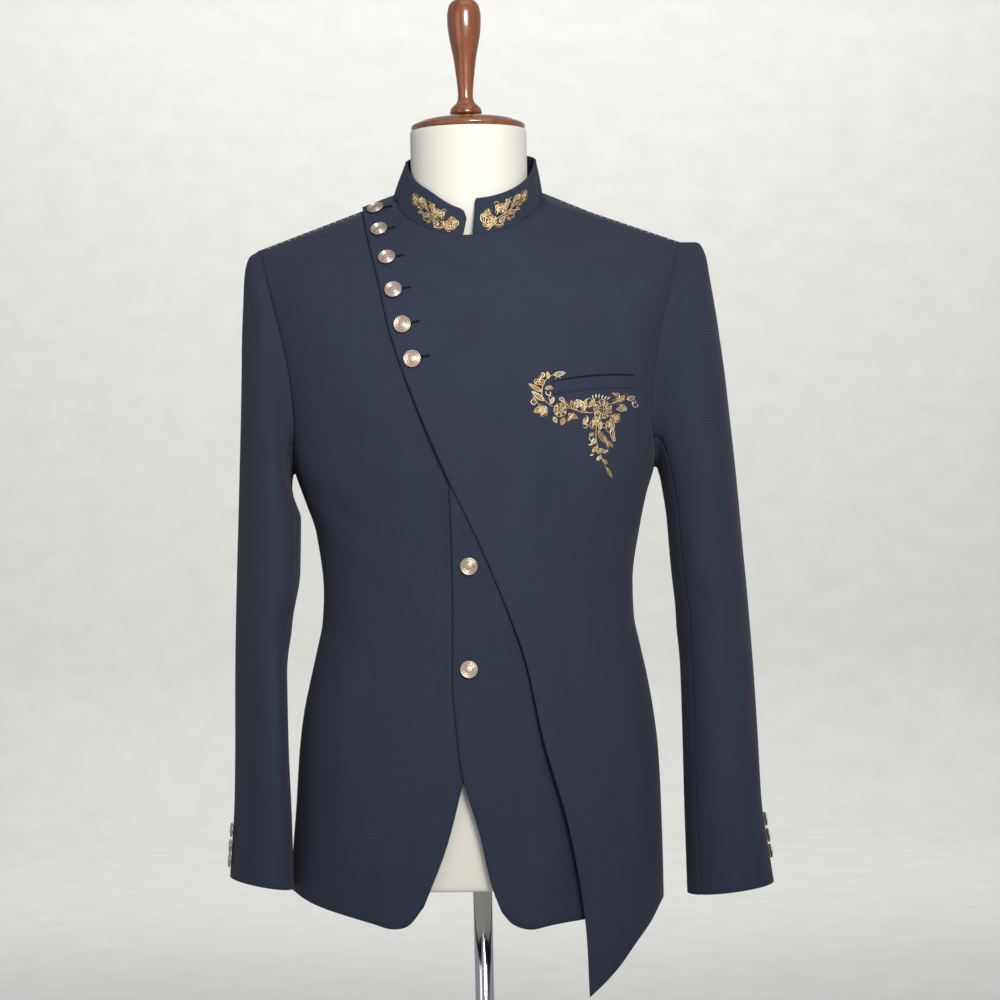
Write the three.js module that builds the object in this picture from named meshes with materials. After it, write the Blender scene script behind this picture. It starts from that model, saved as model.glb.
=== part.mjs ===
import * as THREE from 'three';

// A bandhgala jacket worn by a limbless dress form on a pole.
// Millimetres. +Z is up, the front faces -Y and the wearer's left is +X.
// The origin is the middle of the flat underside of the foot.

// Cloth
const CLOTH = 1.6;
const SEAM = 0.3;
const SEAM_GIRTH = 0.0012;
const SECOND_LAYER = 4;
const THIRD_LAYER = 7.2;
const UNDER_FRONT_SINK = 6.3;
const OVERLAP_EDGE_LIFT = 5.5;

// Body: the neck opening is a tilted oval, the shoulder line falls straight outward.
const SIDE_Y = 4;
const SQUARENESS = 2.35;
const NECK_HALF_WIDTH = 77;
const NECK_HEIGHT = 1449;
const NECK_FRONT_Y = -70;
const NECK_FRONT_HEIGHT = 1402;
const NECK_BACK_Y = 64;
const NECK_BACK_HEIGHT = 1463;
const SHOULDER_SLOPE = 0.359;
const SHOULDER_END = 222;
const GIRTH_LENGTH = 260;
const NECK_STEP = 15;
const RIDGE_GAP = 0.2;
const YOKE_HEIGHT = 1330;
const RIDGE_POWER = 0.6;
const FILLET_HEIGHT = 12;

// Armhole: an oval from the shoulder end down to the underarm
const UNDERARM_HEIGHT = 1162;
const ARMHOLE_DEPTH = 235;
const FRONT_SEAM_TURN = 157;
const BACK_SEAM_TURN = 140;
const FRONT_SEAM_GIRTH = 0.93;
const BACK_SEAM_GIRTH = 1.155;
const BACK_HEM_HEIGHT = 719;
const RIGHT_SIDE_HEM_HEIGHT = 728;
const LEFT_SIDE_HEM_HEIGHT = 712;

// Collar
const COLLAR_THICKNESS = 2.4;
const COLLAR_HEIGHT = 38;
const COLLAR_STAND = 0.6;
const COLLAR_TOP_SHIFT = 3.5;
const COLLAR_TOP_HALF_WIDTH = 68.5;
const COLLAR_TOP_FRONT_Y = -68;
const COLLAR_TOP_BACK_Y = 65;
const COLLAR_LEFT_END_TURN = 4.5;
const COLLAR_RIGHT_END_TURN = 4.5;
const COLLAR_RIGHT_END_HEIGHT = 27;

// Form
const FORM_CLEARANCE = 2.5;
const FORM_NECK_INSET = 6;
const FORM_BOTTOM = 733;
const FORM_NECK_RADIUS = 61;
const FORM_NECK_TOP = 1518;
const FORM_NECK_SHIFT = 1.5;
const NECK_Y = -2;
const CAP_RADIUS = 60;
const CAP_HEIGHT = 15;
const CAP_EDGE = 5;
const POLE_RADIUS = 10;
const FOOT_RADIUS = 165;
const FOOT_THICKNESS = 8;
const HUB_RADIUS = 17;
const HUB_TOP = 46;

// Buttons
const BUTTON_DIAMETER = 18;
const CUFF_BUTTON_DIAMETER = 15;

// Welt of the chest pocket
const WELT_LENGTH = 83;
const WELT_HEIGHT = 12.5;
const WELT_STAND = 0.9;

const DEGREE = Math.PI / 180;

function table(columns, rows) {
  return rows.map((row) => Object.fromEntries(columns.map((name, k) => [name, row[k]])));
}

const bodySections = table(['height', 'rightHalf', 'leftHalf', 'front', 'back'], [
  [600, 202, 189, 124, 124],
  [735, 200, 190, 124, 124],
  [820, 193, 189, 123, 121],
  [870, 189, 187, 121, 116],
  [908, 184, 183, 118, 110],
  [945, 176, 177, 116, 104],
  [978, 168, 170, 114, 100],
  [1006, 162, 165, 113, 98],
  [1040, 160, 164, 113, 96],
  [1100, 167, 173, 116, 100],
  [1132, 177, 180, 118, 104],
  [1165, 188, 190, 120, 109],
  [1220, 198, 198, 119, 115],
  [1280, 211, 211, 112, 115],
  [1330, 221, 221, 100, 110],
  [1400, 235, 235, 71, 92],
  [1470, 243, 243, 40, 62],
]);

// The form is narrower: its armholes end in plain round plates inside the sleeve heads.
const formSections = table(['height', 'rightHalf', 'leftHalf', 'front', 'back'], [
  [720, 178, 178, 114, 113],
  [870, 176, 176, 112, 107],
  [945, 165, 165, 107, 96],
  [1006, 152, 152, 102, 90],
  [1040, 150, 152, 102, 88],
  [1100, 158, 163, 105, 93],
  [1165, 175, 177, 109, 104],
  [1220, 178, 178, 109, 111],
  [1280, 186, 186, 103, 111],
  [1330, 198, 198, 92, 104],
  [1385, 212, 212, 71, 89],
  [1400, 216, 216, 64, 83],
  [1470, 226, 226, 36, 53],
]);

// Turn around the armhole: 0 at the shoulder, 180 at the underarm.
const armholeGirths = table(['turn', 'front', 'back'], [
  [0, 0.787, 0.787],
  [30, 0.766, 0.757],
  [60, 0.743, 0.725],
  [90, 0.722, 0.7],
  [120, 0.765, 0.745],
  [150, 0.885, 0.87],
  [180, 1, 1],
]);

// Edges of the cut pieces, across and height as seen from the front
const overlapEdge = table(['across', 'height'], [
  [-110, 1437.1],
  [-103.6, 1402],
  [-98, 1379],
  [-91, 1349],
  [-80.5, 1301],
  [-60, 1240],
  [-24, 1151],
  [17, 1058],
  [45, 980],
  [66, 881],
  [88, 799],
  [103, 702],
  [106, 625],
]);

const overlapHem = table(['across', 'height'], [
  [106, 625],
  [134, 649],
  [158, 675],
  [180, 702],
]);

const underFrontEdge = table(['across', 'height'], [
  [-23, 1200],
  [-23, 1111],
  [-24, 943],
  [-22, 908],
  [-16, 850],
  [-1, 795],
  [11, 740],
  [20, 714],
]);

const underFrontTop = table(['across', 'height'], [
  [-23, 1200],
  [60, 1222],
  [150, 1250],
  [187, 1262],
]);

const underFrontHem = table(['across', 'height'], [
  [20, 714],
  [31, 702],
  [48, 696],
  [71, 699],
  [101, 702],
  [180, 709],
]);

const rightFrontEdge = table(['across', 'height'], [
  [15, 1402.9],
  [15, 1020],
  [12, 950],
  [0, 900],
  [-17, 843],
  [-36, 777],
  [-59, 720],
]);

const rightFrontHem = table(['across', 'height'], [
  [-190, 726],
  [-138, 710],
  [-111, 703],
  [-92, 698],
  [-76, 701],
  [-59, 720],
]);

// Sleeves: each ring has an outer and an inner point and a half depth from front to back.
// tuck leans the front of the ring toward the body, follow keeps the shape of the armhole.
const sleeveColumns = ['ring', 'outX', 'outZ', 'inX', 'inZ', 'midY', 'halfDepth', 'tuck', 'follow'];

const leftSleeveRings = table(sleeveColumns, [
  [0, 222, 1397, 190, 1162, 4, 66, 0, 1],
  [1, 238, 1395.5, 191.5, 1160.5, 4, 67, 0, 0.9],
  [2, 246, 1383, 192.5, 1157, 4, 68, 0, 0.72],
  [3, 251, 1357, 193.5, 1153, 4, 69, 0, 0.55],
  [4, 258, 1310, 194.5, 1148, 4, 69, 0, 0.36],
  [5, 264, 1262, 195.5, 1141, 4, 69, 0, 0.2],
  [6, 269, 1208, 197, 1131, 4, 68, 0, 0.09],
  [7, 274.5, 1145, 199.5, 1112, 4, 67, 0, 0.02],
  [8, 280, 1065, 203, 1058, 3, 66, 0, 0],
  [9, 283.5, 1008, 207.5, 1006, 0, 64, 0, 0],
  [10, 287, 945, 210.5, 945, -4, 61, 0, 0],
  [11, 289.5, 880, 211, 880, -9, 58, 0, 0],
  [12, 291.5, 815, 211, 814, -14, 54, 0, 0],
  [13, 297, 768, 211.5, 763, -17, 51, 0, 0],
  [14, 302.5, 727, 212, 717, -19, 49, 0, 0],
]);

const rightSleeveRings = table(sleeveColumns, [
  [0, 222, 1397, 188, 1162, 4, 66, 0, 1],
  [1, 230, 1389, 189, 1160.5, 4, 67, 0, 0.92],
  [2, 234.5, 1373, 189.5, 1157, 4, 68, 0, 0.78],
  [3, 237, 1345, 190, 1152, 4, 69, 1, 0.6],
  [4, 239.5, 1304, 190, 1146, 4, 70, 2, 0.42],
  [5, 241, 1257, 188.5, 1139, 3, 70, 4, 0.25],
  [6, 243, 1204, 185, 1129, 1, 69, 6, 0.12],
  [7, 246, 1142, 180, 1112, -2, 68, 8, 0.03],
  [8, 249.5, 1066, 181, 1060, -8, 66, 10, 0],
  [9, 252, 1008, 190, 1006, -14, 64, 12, 0],
  [10, 254, 945, 195.5, 945, -20, 62, 14, 0],
  [11, 255, 880, 195, 880, -25, 61, 15, 0],
  [12, 257, 812, 193, 812, -30, 60, 16, 0],
  [13, 260, 772, 192.5, 770, -33, 59, 16, 0],
  [14, 262, 743, 192.5, 734, -35, 58, 16, 0],
]);

const SLEEVE_SHIFT = 1.7;
const FRONT_SLEEVE_SEAM = 138;
const HIND_SLEEVE_SEAM = -28;
const SLEEVE_SEAM_TURN = 0.25;

// Colours
const looks = {
  suiting: [0x2c3550, 0.85, 0],
  ivory: [0xf3efe2, 0.8, 0],
  lacquer: [0x6e3212, 0.3, 0],
  chrome: [0xc9ccd0, 0.15, 1],
  metal: [0xb59a84, 0.4, 0.9],
};

const group = new THREE.Group();

function add(name, geometry, look) {
  const [color, roughness, metalness] = looks[look];
  const material = new THREE.MeshStandardMaterial({ color, roughness, metalness });
  const mesh = new THREE.Mesh(geometry, material);
  mesh.name = name;
  group.add(mesh);
  return mesh;
}

// Smooth value of a column between the rows of a table, without overshoot
function read(rows, key, column, value) {
  const last = rows.length - 1;
  if (value <= rows[0][key]) {
    return rows[0][column];
  }
  if (value >= rows[last][key]) {
    return rows[last][column];
  }
  let k = 0;
  while (rows[k + 1][key] < value) {
    k += 1;
  }
  const step = (i) => rows[i + 1][key] - rows[i][key];
  const secant = (i) => (rows[i + 1][column] - rows[i][column]) / step(i);
  const slope = (i) => {
    if (i === 0) {
      return secant(0);
    }
    if (i === last) {
      return secant(last - 1);
    }
    const before = secant(i - 1);
    const after = secant(i);
    return before * after <= 0 ? 0 : (2 * before * after) / (before + after);
  };
  const t = (value - rows[k][key]) / step(k);
  const rise = rows[k + 1][column] - rows[k][column];
  const a = slope(k) * step(k) - rise;
  const b = rise - slope(k + 1) * step(k);
  return rows[k][column] + t * rise + t * (1 - t) * (a * (1 - t) + b * t);
}

function smoothStep(from, to, value) {
  const t = Math.min(1, Math.max(0, (value - from) / (to - from)));
  return t * t * (3 - 2 * t);
}

function mix(a, b, t) {
  return a + (b - a) * t;
}

// Body surface

const jacketShape = { sections: bodySections, drop: 0, neckInset: 0 };
const formShape = { sections: formSections, drop: FORM_CLEARANCE, neckInset: FORM_NECK_INSET };

function halfWidth(shape, side, height) {
  return read(shape.sections, 'height', side < 0 ? 'rightHalf' : 'leftHalf', height);
}

// Height and depth of the top edge of the body at one place across it
function topEdge(across, isBack, shape = jacketShape) {
  const reach = Math.abs(across);
  const neckHalf = NECK_HALF_WIDTH - shape.neckInset;
  const ridge = SIDE_Y + (isBack ? RIDGE_GAP : -RIDGE_GAP);
  if (reach >= neckHalf) {
    const height = NECK_HEIGHT - SHOULDER_SLOPE * (reach - NECK_HALF_WIDTH);
    return { height: height - shape.drop, depth: ridge };
  }
  const bulge = Math.sqrt(1 - (reach / neckHalf) ** 2);
  const endHeight = isBack ? NECK_BACK_HEIGHT : NECK_FRONT_HEIGHT;
  const endDepth = isBack ? NECK_BACK_Y - shape.neckInset : NECK_FRONT_Y + shape.neckInset;
  return { height: mix(NECK_HEIGHT, endHeight, bulge) - shape.drop, depth: mix(ridge, endDepth, bulge) };
}

// Depth of the front or back surface of the body
function surfaceDepth(shape, across, height, isBack) {
  const half = halfWidth(shape, across, height);
  const reach = Math.min(1, Math.abs(across) / half);
  const bulge = (1 - reach ** SQUARENESS) ** (1 / SQUARENESS);
  const sign = isBack ? 1 : -1;
  const full = read(shape.sections, 'height', isBack ? 'back' : 'front', height) - sign * SIDE_Y;
  const section = SIDE_Y + sign * full * bulge;
  const top = topEdge(across, isBack, shape);
  if (height >= top.height) {
    return mix(top.depth, SIDE_Y, Math.min(1, (height - top.height) / FILLET_HEIGHT));
  }
  if (height <= YOKE_HEIGHT) {
    return section;
  }
  const fall = (top.height - height) / (top.height - YOKE_HEIGHT);
  const round = (1 - (1 - fall) ** 2) ** RIDGE_POWER;
  return mix(top.depth, section, round);
}

// Girth is 0 at the front centre, 1 and -1 at the sides, 2 and -2 at the back centre.
function bodyPoint(girth, height) {
  const side = girth < 0 ? -1 : 1;
  const isBack = Math.abs(girth) > 1;
  const quarter = isBack ? 2 - Math.abs(girth) : Math.abs(girth);
  const across = side * halfWidth(jacketShape, side, height) * Math.sin(quarter * Math.PI / 2);
  return new THREE.Vector3(across, surfaceDepth(jacketShape, across, height, isBack), height);
}

function girthAt(across, height, isBack) {
  const side = across < 0 ? -1 : 1;
  const reach = Math.min(1, Math.abs(across) / halfWidth(jacketShape, side, height));
  const quarter = Math.asin(reach) / (Math.PI / 2);
  return side * (isBack ? 2 - quarter : quarter);
}

const NORMAL_GIRTH_STEP = 0.004;
const NORMAL_HEIGHT_STEP = 1.5;
const RIDGE_ZONE = 0.8;

function bodyNormal(girth, height) {
  const isBack = Math.abs(girth) > 1;
  const here = bodyPoint(girth, height);
  const top = topEdge(here.x, isBack).height;
  if (Math.abs(here.x) > NECK_HALF_WIDTH - 1 && height > top - RIDGE_ZONE) {
    return new THREE.Vector3(Math.sign(here.x) * SHOULDER_SLOPE, 0, 1).normalize();
  }
  const level = Math.min(height, top - 2 * NORMAL_HEIGHT_STEP);
  const along = bodyPoint(girth + NORMAL_GIRTH_STEP, level).sub(bodyPoint(girth - NORMAL_GIRTH_STEP, level));
  const up = bodyPoint(girth, level + NORMAL_HEIGHT_STEP).sub(bodyPoint(girth, level - NORMAL_HEIGHT_STEP));
  return along.cross(up).normalize();
}

function offsetPoint(girth, height, offset) {
  return bodyPoint(girth, height).addScaledVector(bodyNormal(girth, height), offset);
}

// Flat edges of the cut pieces, as lists of { girth, height }

function flat(across, height, isBack = false) {
  return { girth: girthAt(across, height, isBack), height };
}

function evenShares(count) {
  return Array.from({ length: count + 1 }, (_, k) => k / count);
}

function edgeCurve(rows, shares) {
  const points = rows.map((row) => {
    const place = flat(row.across, row.height);
    return new THREE.Vector3(place.girth * GIRTH_LENGTH, place.height, 0);
  });
  const curve = new THREE.CatmullRomCurve3(points, false, 'centripetal');
  return shares.map((share) => {
    const point = curve.getPointAt(share);
    return { girth: point.x / GIRTH_LENGTH, height: point.y };
  });
}

// How far down each place of an edge lies, as a share of its whole height
function heightShares(edge) {
  const start = edge[0].height;
  const fall = start - edge[edge.length - 1].height;
  return edge.map((place) => (start - place.height) / fall);
}

function shoulderCurve(fromAcross, toAcross, count, isBack) {
  return evenShares(count).map((share) => {
    const across = mix(fromAcross, toAcross, share);
    return flat(across, topEdge(across, isBack).height, isBack);
  });
}

// The neckline is spaced by angle, so that its steep ends get as many points as its middle.
function neckCurve(fromAcross, toAcross, isBack) {
  const start = Math.asin(fromAcross / NECK_HALF_WIDTH);
  const end = Math.asin(toAcross / NECK_HALF_WIDTH);
  const step = NECK_STEP * DEGREE * Math.sign(end - start);
  const angles = [start];
  const first = Math.round(start / step) + 1;
  for (let k = first; (k + 0.4) * Math.abs(step) < end * Math.sign(step); k += 1) {
    angles.push(k * step);
  }
  angles.push(end);
  return angles.map((angle) => {
    const across = NECK_HALF_WIDTH * Math.sin(angle);
    return flat(across, topEdge(across, isBack).height, isBack);
  });
}

function armholePlace(side, turn) {
  const isBack = turn > 180;
  const angle = isBack ? 360 - turn : turn;
  const height = UNDERARM_HEIGHT + ARMHOLE_DEPTH * (1 + Math.cos(angle * DEGREE)) / 2;
  const girth = read(armholeGirths, 'turn', isBack ? 'back' : 'front', angle);
  return { girth: side * (isBack ? 2 - girth : girth), height };
}

function armholeCurve(side, fromTurn, toTurn, count, crowding = 1) {
  return evenShares(count).map((share) => armholePlace(side, mix(fromTurn, toTurn, share ** crowding)));
}

function straight(from, to, count) {
  return evenShares(count).map((share) => ({
    girth: mix(from.girth, to.girth, share),
    height: mix(from.height, to.height, share),
  }));
}

function join(...curves) {
  return curves.reduce((all, curve) => all.concat(curve.slice(1)));
}

function shifted(curve, girth) {
  return curve.map((place) => ({ girth: place.girth + girth, height: place.height }));
}

// Fills the space between four edges. Rows run from the top edge to the bottom edge.
function patch({ top, bottom, left, right }) {
  const columns = top.length - 1;
  const rows = left.length - 1;
  const blend = (key, i, j) => {
    const u = i / columns;
    const v = j / rows;
    const ruled = mix(top[i][key], bottom[i][key], v) + mix(left[j][key], right[j][key], u);
    const corners = mix(mix(top[0][key], top[columns][key], u), mix(bottom[0][key], bottom[columns][key], u), v);
    return ruled - corners;
  };
  return left.map((_, j) => top.map((__, i) => ({ girth: blend('girth', i, j), height: blend('height', i, j) })));
}

// Solid walls

function wall(outer, inner) {
  const rows = outer.length;
  const columns = outer[0].length;
  const positions = [];
  for (const grid of [outer, inner]) {
    for (const row of grid) {
      for (const point of row) {
        positions.push(point.x, point.y, point.z);
      }
    }
  }
  const at = (side, j, i) => (side * rows + j) * columns + i;
  const index = [];
  const quad = (a, b, c, d) => index.push(a, b, c, a, c, d);
  for (let j = 0; j < rows - 1; j += 1) {
    for (let i = 0; i < columns - 1; i += 1) {
      quad(at(0, j, i), at(0, j + 1, i), at(0, j + 1, i + 1), at(0, j, i + 1));
      quad(at(1, j, i), at(1, j, i + 1), at(1, j + 1, i + 1), at(1, j + 1, i));
    }
  }
  for (let i = 0; i < columns - 1; i += 1) {
    quad(at(0, 0, i), at(0, 0, i + 1), at(1, 0, i + 1), at(1, 0, i));
    quad(at(0, rows - 1, i + 1), at(0, rows - 1, i), at(1, rows - 1, i), at(1, rows - 1, i + 1));
  }
  for (let j = 0; j < rows - 1; j += 1) {
    quad(at(0, j + 1, 0), at(0, j, 0), at(1, j, 0), at(1, j + 1, 0));
    quad(at(0, j, columns - 1), at(0, j + 1, columns - 1), at(1, j + 1, columns - 1), at(1, j, columns - 1));
  }
  const geometry = new THREE.BufferGeometry();
  geometry.setAttribute('position', new THREE.Float32BufferAttribute(positions, 3));
  geometry.setIndex(index);
  geometry.computeVertexNormals();
  return geometry;
}

function clothPanel(grid, offset) {
  const outer = grid.map((row) => row.map((place) => offsetPoint(place.girth, place.height, offset(place))));
  const inner = grid.map((row) => row.map((place) => (
    offsetPoint(place.girth, place.height, offset(place) - CLOTH))));
  return wall(outer, inner);
}

// Fronts

const ARMHOLE_ROWS = 8;
const SHOULDER_CROWDING = 1.3;
const SEAM_ROWS = 13;

// Armhole and side seam of a front, from a turn of the armhole down to the hem
function frontSideEdge(side, fromTurn, hemHeight, armholeRows, seamRows) {
  const armhole = armholeCurve(side, fromTurn, FRONT_SEAM_TURN, armholeRows, SHOULDER_CROWDING);
  armhole[armholeRows].girth = side * FRONT_SEAM_GIRTH;
  const hem = { girth: side * FRONT_SEAM_GIRTH, height: hemHeight };
  const edge = join(armhole, straight(armhole[armholeRows], hem, seamRows));
  return shifted(edge, -side * SEAM_GIRTH);
}

// Makes the four edges meet exactly at the corners, then fills them.
function squared(edges) {
  const { top, bottom, left, right } = edges;
  left[0] = top[0];
  right[0] = top[top.length - 1];
  bottom[0] = left[left.length - 1];
  bottom[bottom.length - 1] = right[right.length - 1];
  return patch(edges);
}

function addRightFront() {
  const left = frontSideEdge(-1, 0, RIGHT_SIDE_HEM_HEIGHT, ARMHOLE_ROWS, SEAM_ROWS);
  const right = edgeCurve(rightFrontEdge, heightShares(left));
  const shoulder = shoulderCurve(-SHOULDER_END, -NECK_HALF_WIDTH, 5, false);
  const top = join(shoulder, neckCurve(-NECK_HALF_WIDTH, 15, false));
  const bottom = edgeCurve(rightFrontHem, evenShares(top.length - 1));
  const grid = squared({ top, bottom, left, right });
  const fromHem = grid.map((row) => [...row].reverse()).reverse();
  add('right_front', clothPanel(fromHem, () => 0), 'suiting');
}

// The inner front laps over the right front and lies inside the outer one at its side.
function underFrontOffset({ girth }) {
  return mix(SECOND_LAYER, -UNDER_FRONT_SINK, smoothStep(0.09, 0.36, girth));
}

function addLeftUnderFront() {
  const right = frontSideEdge(1, 102, LEFT_SIDE_HEM_HEIGHT, 3, SEAM_ROWS);
  const left = edgeCurve(underFrontEdge, heightShares(right));
  const columns = 10;
  const top = edgeCurve(underFrontTop, evenShares(columns));
  top[columns] = right[0];
  const bottom = edgeCurve(underFrontHem, evenShares(columns));
  add('left_under_front', clothPanel(squared({ top, bottom, left, right }), underFrontOffset), 'suiting');
}

function overlapEdgeAcross(height) {
  const rows = [...overlapEdge].reverse();
  return read(rows, 'height', 'across', height);
}

// The outer front lies over both other fronts, and its free edge stands a little proud lower down.
function overlapOffset({ girth, height }) {
  const overUnder = 1 - smoothStep(1190, 1290, height);
  const front = mix(SECOND_LAYER, THIRD_LAYER, overUnder);
  const layer = mix(front, 0, smoothStep(0.13, 0.4, girth));
  const edge = girthAt(overlapEdgeAcross(height), height);
  const nearEdge = 1 - smoothStep(0, 0.28, girth - edge);
  const low = 1 - smoothStep(760, 1130, height);
  return layer + OVERLAP_EDGE_LIFT * nearEdge * low;
}

function addOverlap() {
  const right = frontSideEdge(1, 0, LEFT_SIDE_HEM_HEIGHT, ARMHOLE_ROWS, SEAM_ROWS + 2);
  const left = edgeCurve(overlapEdge, heightShares(right));
  const shoulder = shoulderCurve(-110, -NECK_HALF_WIDTH, 2, false);
  const neck = neckCurve(-NECK_HALF_WIDTH, NECK_HALF_WIDTH, false);
  const top = join(shoulder, neck, shoulderCurve(NECK_HALF_WIDTH, SHOULDER_END, 5, false));
  const bottom = edgeCurve(overlapHem, evenShares(top.length - 1));
  add('left_front_overlap', clothPanel(squared({ top, bottom, left, right }), overlapOffset), 'suiting');
}

// Sides and backs

function backEdge(side) {
  const armhole = armholeCurve(side, 360, 360 - BACK_SEAM_TURN, ARMHOLE_ROWS, SHOULDER_CROWDING);
  armhole[ARMHOLE_ROWS].girth = side * BACK_SEAM_GIRTH;
  const hem = { girth: side * BACK_SEAM_GIRTH, height: BACK_HEM_HEIGHT };
  return shifted(join(armhole, straight(armhole[ARMHOLE_ROWS], hem, SEAM_ROWS)), side * SEAM_GIRTH);
}

function addSidePanel(name, side, hemHeight) {
  const columns = 5;
  const underarm = armholeCurve(side, FRONT_SEAM_TURN, 360 - BACK_SEAM_TURN, columns);
  const top = underarm.map((place) => ({ girth: place.girth, height: place.height - SEAM }));
  top[0].girth = side * FRONT_SEAM_GIRTH;
  top[columns].girth = side * BACK_SEAM_GIRTH;
  const frontHem = { girth: top[0].girth, height: hemHeight };
  const backHem = { girth: top[columns].girth, height: BACK_HEM_HEIGHT };
  const bottom = straight(frontHem, backHem, columns);
  const frontSeam = shifted(straight(top[0], frontHem, SEAM_ROWS), side * SEAM_GIRTH);
  const backSeam = shifted(straight(top[columns], backHem, SEAM_ROWS), -side * SEAM_GIRTH);
  top[0] = frontSeam[0];
  top[columns] = backSeam[0];
  bottom[0] = frontSeam[SEAM_ROWS];
  bottom[columns] = backSeam[SEAM_ROWS];
  const grid = patch({ top, bottom, left: frontSeam, right: backSeam });
  const ordered = side > 0 ? grid : grid.map((row) => row.reverse());
  add(name, clothPanel(ordered, () => 0), 'suiting');
}

function addBack(name, side) {
  const centre = side * SEAM / 2;
  const neckEnd = side * NECK_HALF_WIDTH;
  const shoulderEnd = side * SHOULDER_END;
  const top = join(neckCurve(centre, neckEnd, true), shoulderCurve(neckEnd, shoulderEnd, 5, true));
  const centreHem = flat(centre, BACK_HEM_HEIGHT, true);
  const sideEdge = backEdge(side);
  const centreSeam = heightShares(sideEdge).map((share) => (
    flat(centre, mix(top[0].height, centreHem.height, share), true)));
  const bottom = straight(centreHem, sideEdge[sideEdge.length - 1], top.length - 1);
  const grid = squared({ top, bottom, left: centreSeam, right: sideEdge });
  const ordered = side < 0 ? grid : grid.map((row) => row.reverse());
  add(name, clothPanel(ordered, () => 0), 'suiting');
}

// Sleeves

function ringOval(ring, turn) {
  const cos = Math.cos(turn * DEGREE);
  const sin = Math.sin(turn * DEGREE);
  const halfX = (ring.outX - ring.inX) / 2;
  const halfZ = (ring.outZ - ring.inZ) / 2;
  const half = Math.hypot(halfX, halfZ);
  const narrow = Math.sqrt(1 - (ring.tuck / half) ** 2);
  return new THREE.Vector3(
    (ring.outX + ring.inX) / 2 + halfX * narrow * cos - ring.tuck * sin,
    ring.midY - ring.halfDepth * sin,
    (ring.outZ + ring.inZ) / 2 + halfZ * cos,
  );
}

function sleeveRing(rings, position) {
  const keys = sleeveColumns.slice(1);
  return Object.fromEntries(keys.map((key) => [key, read(rings, 'ring', key, position)]));
}

// Turn is 0 on the outside of the arm, 90 in front, 180 toward the body.
function sleevePoint(side, position, turn) {
  const rings = side > 0 ? leftSleeveRings : rightSleeveRings;
  const ring = sleeveRing(rings, position);
  const point = ringOval(ring, turn);
  const wrapped = ((turn % 360) + 360) % 360;
  const place = armholePlace(side, wrapped);
  const armhole = bodyPoint(place.girth, place.height);
  armhole.x *= side;
  const deviation = armhole.sub(ringOval(sleeveRing(rings, 0), turn));
  point.addScaledVector(deviation, ring.follow);
  point.x = side * (point.x + SLEEVE_SHIFT);
  return point;
}

const SLEEVE_TURN_STEP = 2;
const SLEEVE_RING_STEP = 0.1;
const LAST_RING = 14;

function sleeveNormal(side, position, turn) {
  const low = Math.max(0, position - SLEEVE_RING_STEP);
  const high = Math.min(LAST_RING, position + SLEEVE_RING_STEP);
  const down = sleevePoint(side, high, turn).sub(sleevePoint(side, low, turn));
  const before = sleevePoint(side, position, turn - SLEEVE_TURN_STEP);
  const around = sleevePoint(side, position, turn + SLEEVE_TURN_STEP).sub(before);
  return around.cross(down).multiplyScalar(side).normalize();
}

function addSleevePiece(name, side, fromTurn, toTurn, columns) {
  const positions = [0, 1, 2, 3, 4, 5, 6, 7, 7.6, 8.3, 9, 9.7, 10.5, 11.3, 12, 12.7, 13.3, 14];
  const outer = [];
  const inner = [];
  for (const position of positions) {
    const outerRow = [];
    const innerRow = [];
    for (let i = 0; i <= columns; i += 1) {
      const turn = mix(fromTurn + SLEEVE_SEAM_TURN, toTurn - SLEEVE_SEAM_TURN, i / columns);
      const point = sleevePoint(side, position, turn);
      outerRow.push(point);
      innerRow.push(point.clone().addScaledVector(sleeveNormal(side, position, turn), -CLOTH));
    }
    outer.push(side > 0 ? outerRow.reverse() : outerRow);
    inner.push(side > 0 ? innerRow.reverse() : innerRow);
  }
  add(name, wall(outer, inner), 'suiting');
}

// Collar

function collarSeam(turn) {
  const sin = Math.sin(turn * DEGREE);
  const cos = Math.cos(turn * DEGREE);
  const isBack = cos < 0;
  const across = NECK_HALF_WIDTH * sin;
  const top = topEdge(across * 0.99999, isBack);
  return new THREE.Vector3(across, top.depth, top.height);
}

// The collar stands on the neck edges of the panels.
function collarFoot(turn) {
  const seam = collarSeam(turn);
  const isBack = Math.cos(turn * DEGREE) < 0;
  const place = flat(seam.x, seam.z, isBack);
  const offset = isBack ? 0 : overlapOffset(place);
  const foot = seam.addScaledVector(bodyNormal(place.girth, place.height), offset);
  foot.z += COLLAR_STAND;
  return foot;
}

function collarTop(turn) {
  const sin = Math.sin(turn * DEGREE);
  const cos = Math.cos(turn * DEGREE);
  const reach = cos < 0 ? COLLAR_TOP_BACK_Y - SIDE_Y : SIDE_Y - COLLAR_TOP_FRONT_Y;
  const seam = collarSeam(turn);
  const endDrop = COLLAR_HEIGHT - COLLAR_RIGHT_END_HEIGHT;
  const fromRightEnd = turn - 180;
  const low = endDrop * smoothStep(180 - 45, 180 - COLLAR_LEFT_END_TURN, fromRightEnd);
  return new THREE.Vector3(
    COLLAR_TOP_SHIFT + COLLAR_TOP_HALF_WIDTH * sin,
    SIDE_Y - reach * cos,
    seam.z + COLLAR_HEIGHT - low,
  );
}

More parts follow.
